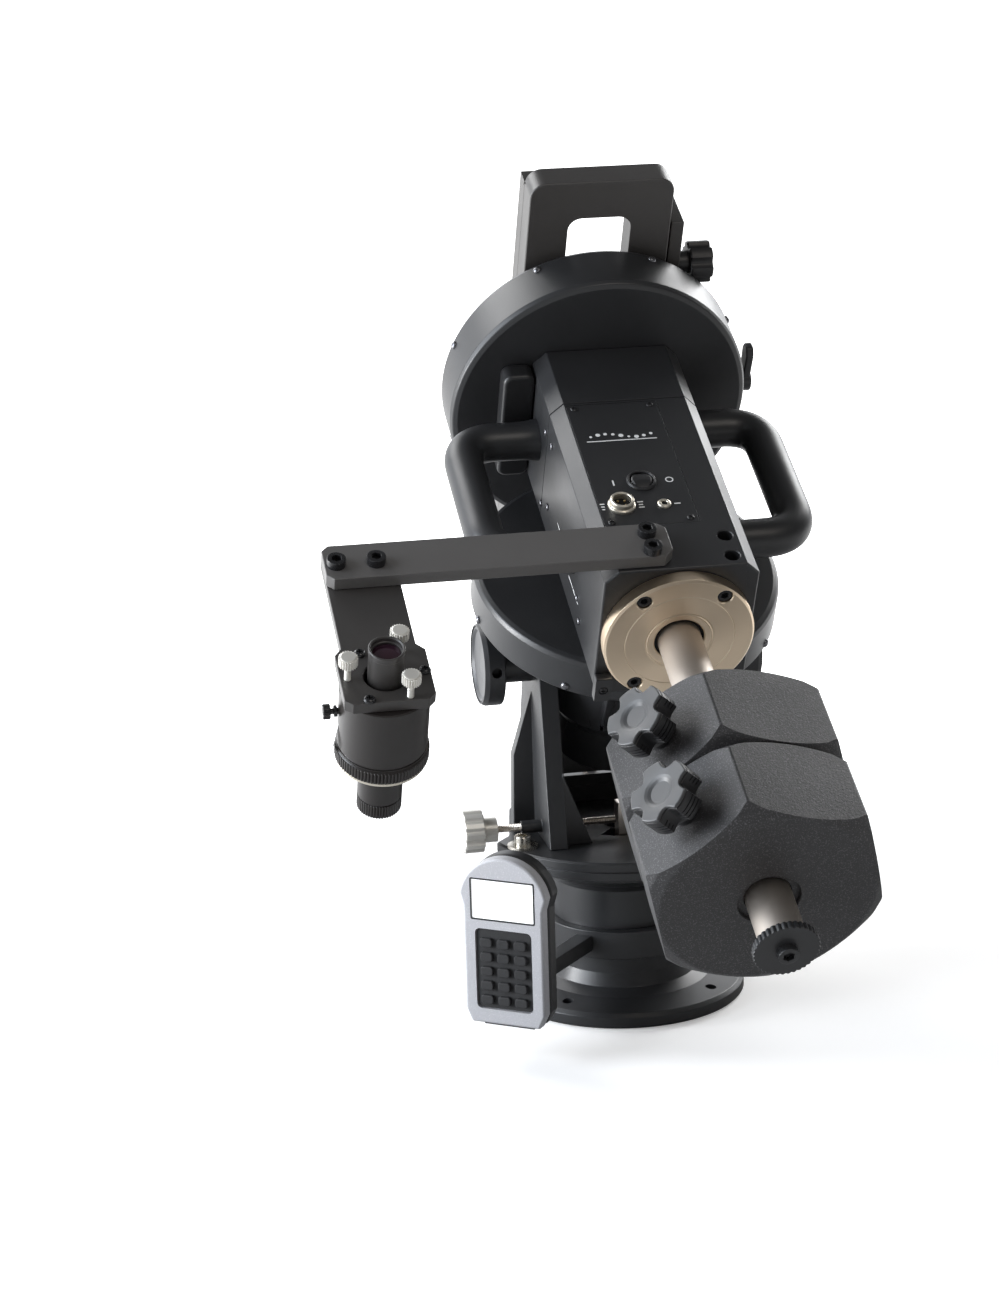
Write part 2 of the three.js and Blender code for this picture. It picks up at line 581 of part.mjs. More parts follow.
function addFork(group) {
  piece(group, 'turntable', turntable(), BLACK);
  piece(group, 'fork_arm_right', forkArm(), CAST);
  piece(group, 'fork_arm_left', mirrored(geometryOf(forkArm())), CAST);
  piece(group, 'altitude_bracket', altitudeBracket(), BLACK);
  piece(group, 'altitude_screw', altitudeScrew(), STEEL);
  piece(group, 'altitude_lock_right', altitudeLock(), BLACK);
  piece(group, 'altitude_lock_left', mirrored(geometryOf(altitudeLock())), BLACK);
  piece(group, 'azimuth_screw_right', azimuthScrew(), STEEL);
  piece(group, 'azimuth_screw_left', mirrored(azimuthScrew()), STEEL);
  piece(group, 'azimuth_knob_right', azimuthKnob(), CREAM);
  piece(group, 'azimuth_knob_left', mirrored(geometryOf(azimuthKnob())), CREAM);
}

function addPolarAxis(group) {
  const wheelPlace = [RA_DRUM[0] + 8, RA_DRUM[1] - 7];
  const wheelMiddle = (wheelPlace[0] + wheelPlace[1]) / 2;
  const wormAt = WHEEL_R + WORM_R + 0.3;
  piece(group, 'ra_housing', raHousing(), BLACK);
  piece(group, 'ra_drum', raDrum(), BLACK);
  piece(group, 'ra_motor_cover', raMotorCover(), PLASTIC);
  piece(group, 'ra_worm', worm('x', RA_AT + wormAt, wheelMiddle), STEEL);
  piece(group, 'ra_worm_wheel', wheel('z', ...wheelPlace, 40, 21.2, 0, RA_AT), BRONZE);
  const shaft = turned('z', [[12, ALT_AT - 84], [20.5, ALT_AT - 84], [20.5, RA_DRUM[1] - 4],
    [44, RA_DRUM[1] - 4],
    [44, BOX_BACK - 0.2], [12, BOX_BACK - 0.2], [12, ALT_AT - 84]], 0, RA_AT);
  piece(group, 'ra_shaft', shaft, STEEL);
  const lever = geometryOf(clutchLever()).rotateX(-Math.PI / 2).rotateZ(-Math.PI / 2);
  piece(group, 'ra_clutch_lever', lever.translate(RA_LEVER_X, RA_AT, RA_DRUM[0] - 0.6), BLACK);
}

function addDecHousing(group) {
  piece(group, 'dec_housing', decHousing(), BLACK);
  piece(group, 'front_panel', frontPanel(), BLACK);
  piece(group, 'power_switch', powerSwitch(), PLASTIC);
  piece(group, 'power_connector', powerConnector(), STEEL);
  piece(group, 'snap_jack', snapJack(), BRASS);
  piece(group, 'circuit_board', block(-38, 16, 68, 195, 38, 39.6), BOARD);
  piece(group, 'handle_left', handle(), BLACK);
  piece(group, 'handle_right', mirrored(handle()), BLACK);
  piece(group, 'counterweight_flange', counterweightFlange(), STEEL);
  piece(group, 'counterweight_shaft', counterweightShaft(), STEEL);
  piece(group, 'shaft_end_stop', shaftEndStop(), BLACK);
  const cover = slab('y', softBox(-80, -BOX_X - 0.3, -47, 47, 7), 253, DEC_DRUM[0] - 0.3);
  piece(group, 'dec_motor_cover', cover, PLASTIC);
}

function addScope(group) {
  piece(group, 'scope_bar', scopeBar(), ANODISED);
  piece(group, 'scope_plate', scopePlate(), ANODISED);
  piece(group, 'scope_barrel', scopeBarrel(), ANODISED);
  piece(group, 'scope_tube', scopeTube(), ANODISED);
  piece(group, 'scope_focus_ring', focusRing(), ANODISED);
  piece(group, 'scope_eyepiece', eyepiece(), ANODISED);
  thumbPlaces().forEach((place, i) => piece(group, `scope_thumbscrew_${i + 1}`, thumbscrew(place), CREAM));
  piece(group, 'scope_side_screw', sideScrew(), ANODISED);
}

function addDecAxis(group) {
  const wheelPlace = [DEC_DRUM[0] + 15, DEC_DRUM[1] - 15];
  const wheelMiddle = (wheelPlace[0] + wheelPlace[1]) / 2;
  piece(group, 'dec_drum', decDrum(), BLACK);
  piece(group, 'dec_worm', worm('x', wheelMiddle, -(WHEEL_R + WORM_R + 0.3)), STEEL);
  piece(group, 'dec_worm_wheel', wheel('y', ...wheelPlace, 36, 20.6, 0, 0), BRONZE);
  piece(group, 'dec_shaft', decShaft(), STEEL);
  const lever = geometryOf(clutchLever()).rotateZ(-Math.PI / 2);
  piece(group, 'dec_clutch_lever', lever.translate(DRUM_R + 0.6, wheelMiddle, 0), BLACK);
  piece(group, 'saddle', saddle(), ANODISED);
  piece(group, 'saddle_jaw', saddleJaw(), ANODISED);
  piece(group, 'saddle_knob_front', saddleKnob(SADDLE_KNOBS[0]), BLACK);
  piece(group, 'saddle_knob_back', saddleKnob(SADDLE_KNOBS[1]), BLACK);
}

function addCounterweights(group) {
  ['upper', 'lower'].forEach((place, i) => {
    piece(group, `counterweight_${place}`, counterweight(CW_TOPS[i]), CAST);
    piece(group, `counterweight_knob_${place}`, counterweightKnob(CW_TOPS[i]), PLASTIC);
  });
}

const mount = new THREE.Group();
addBase(mount);
addFork(mount);

const tilt = new THREE.Group();
tilt.position.set(0, 0, ALT_HEIGHT);
tilt.rotation.x = THREE.MathUtils.degToRad(90 - LATITUDE);
mount.add(tilt);

const head = new THREE.Group();
head.position.set(0, -RA_AT, -ALT_AT);
tilt.add(head);
addPolarAxis(head);
addDecHousing(head);
addScope(head);
addDecAxis(head);
addCounterweights(head);

export default mount;
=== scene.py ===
import json
from math import atan2, cos, dist, hypot, pi, radians, sin, tan

import bmesh
import bpy
from mathutils import Matrix, Quaternion, Vector

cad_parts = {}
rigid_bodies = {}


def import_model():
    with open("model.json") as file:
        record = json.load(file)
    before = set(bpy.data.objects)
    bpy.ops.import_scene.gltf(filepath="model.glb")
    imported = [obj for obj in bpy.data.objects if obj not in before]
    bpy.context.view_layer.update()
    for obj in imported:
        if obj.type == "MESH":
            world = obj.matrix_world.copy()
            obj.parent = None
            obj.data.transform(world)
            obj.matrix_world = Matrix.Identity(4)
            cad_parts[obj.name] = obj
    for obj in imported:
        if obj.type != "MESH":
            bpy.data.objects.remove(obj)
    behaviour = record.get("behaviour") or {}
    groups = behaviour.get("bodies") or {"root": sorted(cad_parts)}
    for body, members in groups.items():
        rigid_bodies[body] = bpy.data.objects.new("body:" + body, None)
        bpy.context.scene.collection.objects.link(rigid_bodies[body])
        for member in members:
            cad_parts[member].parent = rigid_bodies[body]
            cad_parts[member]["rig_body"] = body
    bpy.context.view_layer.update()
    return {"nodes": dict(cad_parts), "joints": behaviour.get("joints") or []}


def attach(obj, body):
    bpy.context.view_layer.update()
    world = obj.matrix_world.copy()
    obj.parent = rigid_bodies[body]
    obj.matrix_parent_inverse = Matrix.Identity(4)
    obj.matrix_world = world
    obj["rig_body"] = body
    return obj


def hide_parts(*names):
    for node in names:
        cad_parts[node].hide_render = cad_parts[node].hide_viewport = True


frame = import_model()

# ---------- local frames: millimetres to the row frame's metres ----------
MM = 0.001
DEC_JOINT_AT = 320  # the declination joint's place along its own axis
FULL = 2 * pi
JOINTS = {joint["name"]: joint for joint in frame["joints"]}


def local_frame(x, y, z, origin):
    matrix = (Matrix((x, y, z)).transposed() * MM).to_4x4()
    matrix.translation = origin
    return matrix


def joint_axis(name):
    return Vector(JOINTS[name]["axis"]).normalized()


ACROSS = Vector((1, 0, 0))
UP = Vector((0, 0, 1))
BASE = local_frame(ACROSS, Vector((0, 1, 0)), UP, Vector())
DEC_AXIS = joint_axis("declination")
POLAR_AXIS = joint_axis("right_ascension")
# The head's frame: x across, y along the declination axis, z along the polar axis, from the flange's face.
HEAD = local_frame(ACROSS, DEC_AXIS, POLAR_AXIS,
    Vector(JOINTS["declination"]["pos_m"]) - DEC_AXIS * DEC_JOINT_AT * MM)
MIRROR = Matrix.Scale(-1, 4, ACROSS)


def corners(points):
    """Lowest and highest corner of the box round some points."""
    return [Vector([pick(point[i] for point in points) for i in range(3)]) for pick in (min, max)]


def span(node, place=HEAD):
    """Those two corners of a CAD node, in a local frame."""
    back = place.inverted()
    return corners([back @ vertex.co for vertex in frame["nodes"][node].data.vertices])


def middle(node, place=HEAD):
    low, high = span(node, place)
    return (low + high) / 2


def body_of(node):
    return frame["nodes"][node]["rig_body"]


HEAD_BODY = body_of("dec_housing")
POLAR_BODY = body_of("ra_drum")
FORK_BODY = body_of("turntable")
DEC_BODY = body_of("saddle")
SIDES = (("right", BASE), ("left", BASE @ MIRROR))


# ---------- solids ----------
MERGE = 1e-4  # millimetres between points that are one
SHARPEST, FLATTEST = 0.1, 3.0  # radians of a corner that is rounded
CORNER_SHARE = 0.46  # of an edge, at most, goes into one rounded corner


def add_object(name, data):
    item = bpy.data.objects.new(name, data)
    bpy.context.scene.collection.objects.link(item)
    return item


def spot(axis, u, v, w):
    """A point from its two places across an axis and its place along it."""
    return {"x": (w, u, v), "y": (u, w, v), "z": (u, v, w)}[axis]


def turn_points(count, radius=lambda angle: 1.0):
    """Points round a full turn at a radius that may change with the angle."""
    angles = [FULL * i / count for i in range(count)]
    return [(radius(a) * cos(a), radius(a) * sin(a)) for a in angles]


def as_object(shape):
    mesh = bpy.data.meshes.new("shape")
    shape.to_mesh(mesh)
    shape.free()
    return add_object("shape", mesh)


def loft(sections, looped=False):
    """A closed skin through sections of equal length, capped at its ends unless they join up."""
    shape = bmesh.new()
    rows = [[shape.verts.new(point) for point in section] for section in sections]
    for low, high in zip(rows, rows[1:] + rows[:1] if looped else rows[1:]):
        for i, j in zip(range(len(low)), [*range(1, len(low)), 0]):
            shape.faces.new((low[i], low[j], high[j], high[i]))
    if not looped:
        shape.faces.new(rows[0][::-1])
        shape.faces.new(rows[-1])
    bmesh.ops.remove_doubles(shape, verts=shape.verts, dist=MERGE)
    bmesh.ops.recalc_face_normals(shape, faces=shape.faces)
    return as_object(shape)


def rounded(points, radius, closed=True, steps=4):
    """The same outline with every corner turned into a small curve."""
    result = []
    points = [Vector(point) for point in points]
    for i, here in enumerate(points):
        if not closed and i in (0, len(points) - 1):
            result.append(tuple(here))
            continue
        back = points[i - 1] - here
        ahead = points[(i + 1) % len(points)] - here
        corner = back.angle(ahead)
        if not SHARPEST < corner < FLATTEST:
            result.append(tuple(here))
            continue
        reach = min(radius / tan(corner / 2), CORNER_SHARE * min(back.length, ahead.length))
        start = here + back.normalized() * reach
        end = here + ahead.normalized() * reach
        for k in range(steps + 1):
            t = k / steps
            result.append(tuple(start * (1 - t) ** 2 + here * 2 * t * (1 - t) + end * t * t))
    return result


def thread(radius, low, high, pitch):
    """Profile points of a screw's ridges, as plain rings."""
    count = int((high - low) / pitch)
    return [point for k in range(count) for point in ((radius + 0.25 * pitch, low + k * pitch),
        (radius - 0.2 * pitch, low + (k + 0.5) * pitch))]


def lathe(profile, axis="z", at=(0, 0), fillet=0.5, steps=96, hollow=False):
    """A solid turned from (radius, place) pairs. It closes flat on the axis, or on itself when hollow."""
    if not hollow:
        ends = [[(0, place)] if radius else [] for radius, place in (profile[0], profile[-1])]
        profile = ends[0] + profile + ends[1]
    points = turn_points(steps)
    return loft([[spot(axis, at[0] + r * u, at[1] + r * v, place) for u, v in points]
        for r, place in rounded(profile, fillet, closed=hollow)], hollow)


def ring(profile, axis="z", at=(0, 0), fillet=0.5, steps=96):
    return lathe(profile, axis, at, fillet, steps, hollow=True)


def inset(outline, depth):
    """The outline moved inwards by depth."""
    points = [Vector(point) for point in outline]
    area = sum(a.x * b.y - a.y * b.x for a, b in zip(points, points[1:] + points[:1]))
    side = 1 if area > 0 else -1
    result = []
    for before, here, after in zip(points[-1:] + points[:-1], points, points[1:] + points[:1]):
        normals = []
        for step in (here - before, after - here):
            step.normalize()
            normals.append(Vector((-step.y, step.x)) * side)
        share = max(0.35, 1 + normals[0].dot(normals[1]))
        result.append(here + (normals[0] + normals[1]) * (depth / share))
    return result


def slab(outline, low, high, axis="z", edge=0.5, steps=3):
    """An outline carried along an axis, with both rims rounded."""
    quarter = [pi / 2 * k / steps for k in range(steps + 1)]
    rim = [(edge * (1 - cos(a)), edge * (1 - sin(a))) for a in quarter] if edge else [(0, 0)]
    stations = [(low + height, depth) for height, depth in rim]
    stations += [(high - height, depth) for height, depth in reversed(rim)]
    return loft([[spot(axis, u, v, place) for u, v in inset(outline, depth)] for place, depth in stations])


def box(x, y, z, edge=0.5):
    return slab([(x[0], y[0]), (x[1], y[0]), (x[1], y[1]), (x[0], y[1])], *z, edge=edge)


def rod(axis, radius, low, high, at=(0, 0), fillet=0.4, steps=64):
    return lathe([(radius, low), (radius, high)], axis, at, fillet, steps)


def arc(radius, start, end, steps, u=0.0, v=0.0):
    angles = [radians(start + (end - start) * i / steps) for i in range(steps + 1)]
    return [(u + radius * cos(a), v + radius * sin(a)) for a in angles]


def soft_box(u0, u1, v0, v1, corner, steps=6):
    """A rectangle with rounded corners, or cut corners when steps is 1."""
    c = corner
    centres = [(u1 - c, v0 + c), (u1 - c, v1 - c), (u0 + c, v1 - c), (u0 + c, v0 + c)]
    return [point for i, centre in enumerate(centres)
        for point in arc(c, 90 * i - 90, 90 * i, steps, *centre)]


def shifted(outline, at):
    return [(u + at[0], v + at[1]) for u, v in outline]


def lobed(radius, lobes, depth, power=0.8, steps=12):
    """A round grip with hollows between its lobes."""
    def reach(angle):
        return radius - depth * max(0.0, -cos(lobes * angle)) ** power
    return turn_points(lobes * steps, reach)


def ribbed(radius, ribs, depth=0.5):
    return turn_points(ribs * 6, lambda angle: radius - depth * (0.5 - 0.5 * cos(ribs * angle)) ** 2)


def sweep(path, radius, sides=40):
    """A round bar along a path in the plane z = 0. radius may change along the path."""
    sections = []
    for i, here in enumerate(path):
        step = (path[min(i + 1, len(path) - 1)] - path[max(i - 1, 0)]).normalized()
        across = Vector((step.y, -step.x, 0))
        size = radius(i / (len(path) - 1))
        sections.append([here + across * size * u + UP * size * v for u, v in turn_points(sides)])
    return loft(sections)


def bake(item):
    graph = bpy.context.evaluated_depsgraph_get()
    mesh = bpy.data.meshes.new_from_object(item.evaluated_get(graph))
    item.modifiers.clear()
    item.data = mesh
    return item


def combine(operation, item, tools):
    for tool in tools:
        modifier = item.modifiers.new("combine", "BOOLEAN")
        modifier.operation = operation
        modifier.solver = "MANIFOLD"
        modifier.object = tool
    bake(item)
    for tool in tools:
        bpy.data.objects.remove(tool)
    return item


def cut(item, *tools):
    return combine("DIFFERENCE", item, tools)


def join(item, *tools):
    return combine("UNION", item, tools)


def common(item, *tools):
    return combine("INTERSECT", item, tools)


def soften(item, width, segments=3, angle=35):
    """Rounds every sharp edge that a cut or join left."""
    modifier = item.modifiers.new("soften", "BEVEL")
    modifier.width = width
    modifier.segments = segments
    modifier.limit_method = "ANGLE"
    modifier.angle_limit = radians(angle)
    modifier.use_clamp_overlap = False
    modifier.miter_outer = "MITER_ARC"
    return bake(item)


def moved(item, matrix):
    item.data.transform(matrix)
    return item


def group(items):
    """Separate solids in one mesh, such as a set of screws."""
    shape = bmesh.new()
    for item in items:
        shape.from_mesh(item.data)
        bpy.data.objects.remove(item)
    return as_object(shape)


# ---------- fasteners, made standing on z = 0 ----------
def hexagon(across):
    return lambda angle: across / 2 / cos((angle + pi / 6) % (pi / 3) - pi / 6)


def cross(length, width):
    def reach(angle):
        turn = (angle + pi / 4) % (pi / 2) - pi / 4
        return min(length / 2 / cos(turn), width / 2 / max(abs(sin(turn)), 1e-3))
    return reach


def stacked(stations, count=96):
    """A solid through outlines, each a radius or a function of the angle, at their heights."""
    sections = []
    for reach, place in stations:
        outline = turn_points(count, reach) if callable(reach) else turn_points(count, lambda angle: reach)
        sections.append([(u, v, place) for u, v in outline])
    return loft(sections)


def socket_head(radius, height, across):
    edge = 0.1 * radius
    return stacked([(radius, 0), (radius, height - edge), (radius - 0.3 * edge, height - 0.3 * edge),
        (radius - edge, height), (hexagon(across + 0.5), height), (hexagon(across), height - 0.3),
        (hexagon(across), height * 0.35)])


def pan_head(radius, height):
    drive = cross(radius * 1.2, radius * 0.32)
    return stacked([(radius, 0), (radius, height * 0.3), (radius * 0.93, height * 0.6),
        (radius * 0.78, height * 0.86), (radius * 0.55, height), (drive, height), (drive, height * 0.35)])


def dome_head(radius, height):
    crown = [(radius * cos(a), height * (0.2 + 0.8 * sin(a))) for a in (0.35, 0.7, 1.0, 1.25)]
    return stacked([(radius, 0), (radius, height * 0.2)] + crown, 32)


def hex_bolt(across, height):
    thick = 2  # the washer's
    washer = stacked([(across * 0.86, 0), (across * 0.86, thick), (across * 0.5, thick + 0.01)], 64)
    head = stacked([(across * 0.48, thick), (across * 0.48, thick + height - 0.8),
        (across * 0.44, thick + height), (hexagon(across * 0.52), thick + height),
        (hexagon(across * 0.52), thick + height * 0.4)])
    return group([washer, head])


def stand(at, direction):
    matrix = Vector(direction).to_track_quat("Z", "Y").to_matrix().to_4x4()
    matrix.translation = Vector(at)
    return matrix


# ---------- materials ----------
BROAD_GRAIN = 14  # cells of broad tone per metre
LATHE_GRAIN = 2600  # tool marks per metre
FLECK_START, FLECK_GAIN = 0.58, 7.0  # the noise value at which a fleck starts, and how fast it fills
FLECK_TONE = 3.2  # times the base colour
EDGE_WIDTH = 0.5  # millimetres
# The second number is how far the edges are paled: a painted highlight for the light that rounded edges
# catch.
EDGE_GAIN, EDGE_HIGHLIGHT = 9.0, 0.45


def plug(tree, node, inputs):
    """Links each named input to a socket, or sets its value."""
    for key, value in inputs.items():
        if isinstance(value, bpy.types.NodeSocket):
            tree.links.new(value, node.inputs[key])
        else:
            node.inputs[key].default_value = value


def add_node(tree, kind, inputs=None, **settings):
    node = tree.nodes.new("ShaderNode" + kind)
    for key, value in settings.items():
        setattr(node, key, value)
    plug(tree, node, inputs or {})
    return node


def math_node(tree, operation, *values, clamp=False):
    return add_node(tree, "Math", dict(enumerate(values)), operation=operation, use_clamp=clamp).outputs[0]


def times(tree, *values, clamp=False):
    return math_node(tree, "MULTIPLY", *values, clamp=clamp)


def plus(tree, *values):
    return math_node(tree, "ADD", *values)


def object_place(tree):
    return add_node(tree, "TexCoord").outputs["Object"]


def mix_colour(tree, share, low, high):
    """Colours as four numbers or sockets. Inputs 0, 6 and 7 of the Mix node are its share and its colours."""
    return add_node(tree, "Mix", {0: share, 6: low, 7: high}, data_type="RGBA").outputs[2]


def noise(tree, vector, scale, detail=3.0, rough=0.6):
    return add_node(tree, "TexNoise", {"Vector": vector, "Scale": scale, "Detail": detail,
        "Roughness": rough}).outputs["Fac"]


def mapped(tree, value, low, high):
    return add_node(tree, "MapRange", {"Value": value, "From Min": 0.3, "From Max": 0.7, "To Min": low,
        "To Max": high}).outputs[0]


def edge_share(tree, radius):
    """1 on a convex or concave edge, 0 on a flat face."""
    soft = add_node(tree, "Bevel", {"Radius": radius}, samples=4).outputs[0]
    flat = add_node(tree, "NewGeometry").outputs["Normal"]
    alike = add_node(tree, "VectorMath", {0: soft, 1: flat}, operation="DOT_PRODUCT").outputs["Value"]
    return times(tree, math_node(tree, "SUBTRACT", 1.0, alike), EDGE_GAIN, clamp=True)


def shade(colour, factor):
    return [min(1.0, part * factor) for part in colour] + [1.0]


def new_look(name):
    look = bpy.data.materials.new(name)
    look.use_nodes = True
    return look, look.node_tree, look.node_tree.nodes["Principled BSDF"]


def surface(name, colour, roughness, metallic=0.0, grain=1500, depth=0.03, patch=0.12, flecks=0.0, edge=1.5,
        swirl=None, specular=0.5):
    """A painted, moulded or machined surface: broad tone, fine grain, pale flecks and a painted highlight on
    its edges.
    grain is per metre and depth in millimetres. swirl is (frame, axis, strength) for lathe-turned metal."""
    look, tree, shader = new_look(name)
    place = object_place(tree)
    broad = noise(tree, place, BROAD_GRAIN, 4)
    fine = noise(tree, place, grain, 2)
    tone = mix_colour(tree, broad, shade(colour, 1 - patch), shade(colour, 1 + patch))
    if flecks:
        above = math_node(tree, "SUBTRACT", noise(tree, place, grain * 1.7, 1), FLECK_START)
        sparse = times(tree, above, FLECK_GAIN, clamp=True)
        tone = mix_colour(tree, times(tree, sparse, flecks), tone, shade(colour, FLECK_TONE))
    # Pales the rims of faces: a painted highlight for the light that rounded edges catch.
    if edge:
        edge_highlight = times(tree, edge_share(tree, EDGE_WIDTH * MM), EDGE_HIGHLIGHT)
        tone = mix_colour(tree, edge_highlight, tone, shade(colour, 1 + edge))
    height = turned_lines(tree, shader, place, *swirl) if swirl else fine
    bump = add_node(tree, "Bump", {"Height": height, "Strength": 0.6, "Distance": depth * MM})
    rough = plus(tree, mapped(tree, broad, roughness * 0.88, roughness * 1.12),
        mapped(tree, fine, -0.03, 0.03))
    plug(tree, shader, {"Base Color": tone, "Roughness": rough, "Normal": bump.outputs[0],
        "Metallic": metallic, "Specular IOR Level": specular})
    return look


def turned_lines(tree, shader, place, matrix, axis, strength):
    """Fine rings round an axis, left by a lathe, and the stretched highlight that they give."""
    turn = matrix.to_3x3().normalized()
    inner = add_node(tree, "Mapping", {"Vector": place, "Location": matrix.translation,
        "Rotation": turn.to_euler()}, vector_type="TEXTURE").outputs[0]
    parts = add_node(tree, "SeparateXYZ", {0: inner}).outputs
    squares = [math_node(tree, "POWER", parts[i], 2.0) for i in range(3) if i != axis]
    radius = math_node(tree, "SQRT", plus(tree, *squares))
    lines = add_node(tree, "CombineXYZ", {0: radius, 1: parts[axis]}).outputs[0]
    centre = add_node(tree, "VectorMath", {0: place, 1: matrix.translation}, operation="SUBTRACT").outputs[0]
    tangent = add_node(tree, "VectorMath", {0: centre, 1: turn.col[axis]},
        operation="CROSS_PRODUCT").outputs[0]
    tangent = add_node(tree, "VectorTransform", {0: tangent}, convert_from="OBJECT", convert_to="WORLD",
        vector_type="VECTOR").outputs[0]
    plug(tree, shader, {"Tangent": tangent, "Anisotropic": strength})
    return noise(tree, lines, LATHE_GRAIN, 2)


def glass(name, colour, roughness=0.05):
    look, tree, shader = new_look(name)
    # Towards grazing angles the base colour turns dark purple: a painted reflection of the lens coating.
    grazing_tint = add_node(tree, "LayerWeight", {"Blend": 0.35}).outputs["Facing"]
    smear = noise(tree, object_place(tree), 60, 3)
    tone = mix_colour(tree, grazing_tint, shade(colour, 1), shade((0.05, 0.03, 0.07), 1))
    plug(tree, shader, {"Base Color": tone, "Roughness": mapped(tree, smear, roughness, roughness * 1.6),
        "Coat Weight": 1.0, "Coat Tint": (0.9, 0.6, 0.7, 1)})
    return look


def self_lit(name, colour, glow):
    look = surface(name, colour, 0.25, edge=0, patch=0.02)
    plug(look.node_tree, look.node_tree.nodes["Principled BSDF"],
        {"Emission Color": shade(colour, 1), "Emission Strength": glow})
    return look


LATHED = (HEAD, 1)  # turned about the declination axis
# In every look from here on, edge sets how much the edges are paled: a painted highlight.
LOOKS = {
    "black_paint": surface("satin_black_paint", (0.019, 0.0195, 0.021), 0.38, grain=2600, depth=0.02),
    "cast_paint": surface("cast_black_paint", (0.023, 0.0235, 0.025), 0.42, grain=1100, depth=0.08, edge=2.4),
    "weight_paint": surface("hammered_grey_paint", (0.0255, 0.025, 0.0262), 0.5, grain=620, depth=0.3,
        flecks=2.2, patch=0.08, edge=1.4),
    "steel": surface("turned_steel", (0.72, 0.66, 0.6), 0.3, 1.0, depth=0.012, patch=0.05, edge=0.5,
        swirl=(*LATHED, 0.6)),
    "chrome": surface("bright_nickel", (0.62, 0.59, 0.53), 0.27, 1.0, depth=0.004, patch=0.04, edge=0.4),
    "brass": surface("gold_flash", (0.6, 0.44, 0.22), 0.28, 1.0, depth=0.006, patch=0.05, edge=0.5),
    "bronze": surface("machined_bronze", (0.55, 0.38, 0.2), 0.35, 1.0, depth=0.02),
    "silver_knob": surface("satin_silver", (0.72, 0.7, 0.65), 0.36, 0.5, grain=2200, depth=0.015,
        patch=0.05, edge=0.35),
    "black_anodised": surface("black_anodised", (0.046, 0.043, 0.041), 0.4, grain=3200, depth=0.012,
        patch=0.06),
    "black_plastic": surface("black_plastic", (0.013, 0.013, 0.014), 0.42, grain=1700),
    "grey_plastic": surface("grained_grey_plastic", (0.4, 0.4, 0.42), 0.5, grain=900, depth=0.07,
        flecks=0.25, patch=0.05, edge=0.3),
    "rubber": surface("soft_rubber", (0.014, 0.014, 0.015), 0.72, grain=900, depth=0.05),
    "screen": self_lit("blank_screen", (0.9, 0.92, 0.92), 0.6),
    "board": surface("solder_mask", (0.03, 0.16, 0.07), 0.4, patch=0.2),
}
FLANGE_STEEL = surface("faced_steel", (0.8, 0.65, 0.48), 0.34, 1.0, depth=0.014, patch=0.06, edge=0.8,
    swirl=(*LATHED, 0.75))
SHAFT_STEEL = surface("ground_steel", (0.6, 0.545, 0.49), 0.5, 1.0, depth=0.01, patch=0.05, edge=0.5,
    swirl=(*LATHED, 0.5))
BLACK_SCREW = surface("black_oxide_screw", (0.012, 0.012, 0.013), 0.28, grain=3000, depth=0.01, edge=4.0)
BRIGHT_SCREW = surface("plated_screw", (0.16, 0.16, 0.17), 0.28, 0.9, depth=0.006, edge=1.0)
SOCKET_NICKEL = surface("warm_nickel", (0.72, 0.67, 0.57), 0.32, 0.85, depth=0.003, patch=0.03, edge=0.3)
WHITE_INK = surface("white_ink", (0.78, 0.79, 0.79), 0.6, depth=0.005, edge=0)
CLEAR_TAB = surface("frosted_tab", (0.8, 0.79, 0.77), 0.35, depth=0.02, edge=0)
# Near-black matte that is put in holes and gaps: painted shade.
PAINTED_SHADE = surface("painted_shade_bore", (0.004, 0.004, 0.004), 0.8, edge=0)
LENS = glass("coated_lens", (0.02, 0.008, 0.007))
KNOB_FACE = surface("grey_knob_face", (0.053, 0.054, 0.056), 0.42, grain=2400, depth=0.02, patch=0.05,
    edge=0.9)
# Black paint made a little paler: painted sheen for the light that the dished black face catches from the
# left.
DISHED_FACE = surface("dished_face", (0.05, 0.051, 0.054), 0.36, grain=2400, depth=0.015, patch=0.05,
    edge=2.5)
# A paler copy of the black anodising for the scope bar: painted light that makes up the brightness of its
# top.
BAR_BLACK_PAINTED_LIGHT = surface("black_anodised_painted_light", (0.1, 0.096, 0.093), 0.42, grain=3200, depth=0.012, patch=0.06)
BARREL_BLACK = surface("warm_black_anodised", (0.02, 0.0172, 0.016), 0.34, grain=3200, depth=0.01,
    patch=0.05)


# ---------- turning a solid into a piece ----------
SMOOTH_BELOW = 33  # degrees between two faces that are shaded as one surface


def piece(item, name, slot, node=None, body=HEAD_BODY, place=HEAD, look=None):
    """Places a local solid in the row frame, smooths and paints it, and puts it on its body. A piece that
    shows a CAD node takes that node's body."""
    mesh = item.data
    mesh.transform(place)
    if place.determinant() < 0:
        mesh.flip_normals()
    item.name = mesh.name = name
    mesh.shade_smooth()
    mesh.set_sharp_from_angle(angle=radians(SMOOTH_BELOW))
    item.modifiers.new("even_normals", "WEIGHTED_NORMAL").keep_sharp = True
    mesh.materials.clear()
    mesh.materials.append(look or LOOKS[slot])
    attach(item, body_of(node) if node else body)
    if node:
        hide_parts(node)


def screws(name, slot, make, places, way=None, body=HEAD_BODY, look=None, place=HEAD):
    """Copies of one fastener as one piece. places are points, or pairs of a point and the way it faces."""
    pairs = [(at, way) for at in places] if way else places
    copies = [moved(make(), stand(at, facing)) for at, facing in pairs]
    piece(group(copies), name, slot, body=body, look=look, place=place)


# ---------- declination housing ----------
BOX_LOW, BOX_HIGH = span("dec_housing")
PANEL_LOW, PANEL_HIGH = span("front_panel")
FRONT = BOX_HIGH.z
CHAMFER = 9.7
INK = 0.06  # thickness of a printed mark
ROCKER = middle("power_switch")
CONNECTOR = middle("power_connector")
JACK = middle("snap_jack")


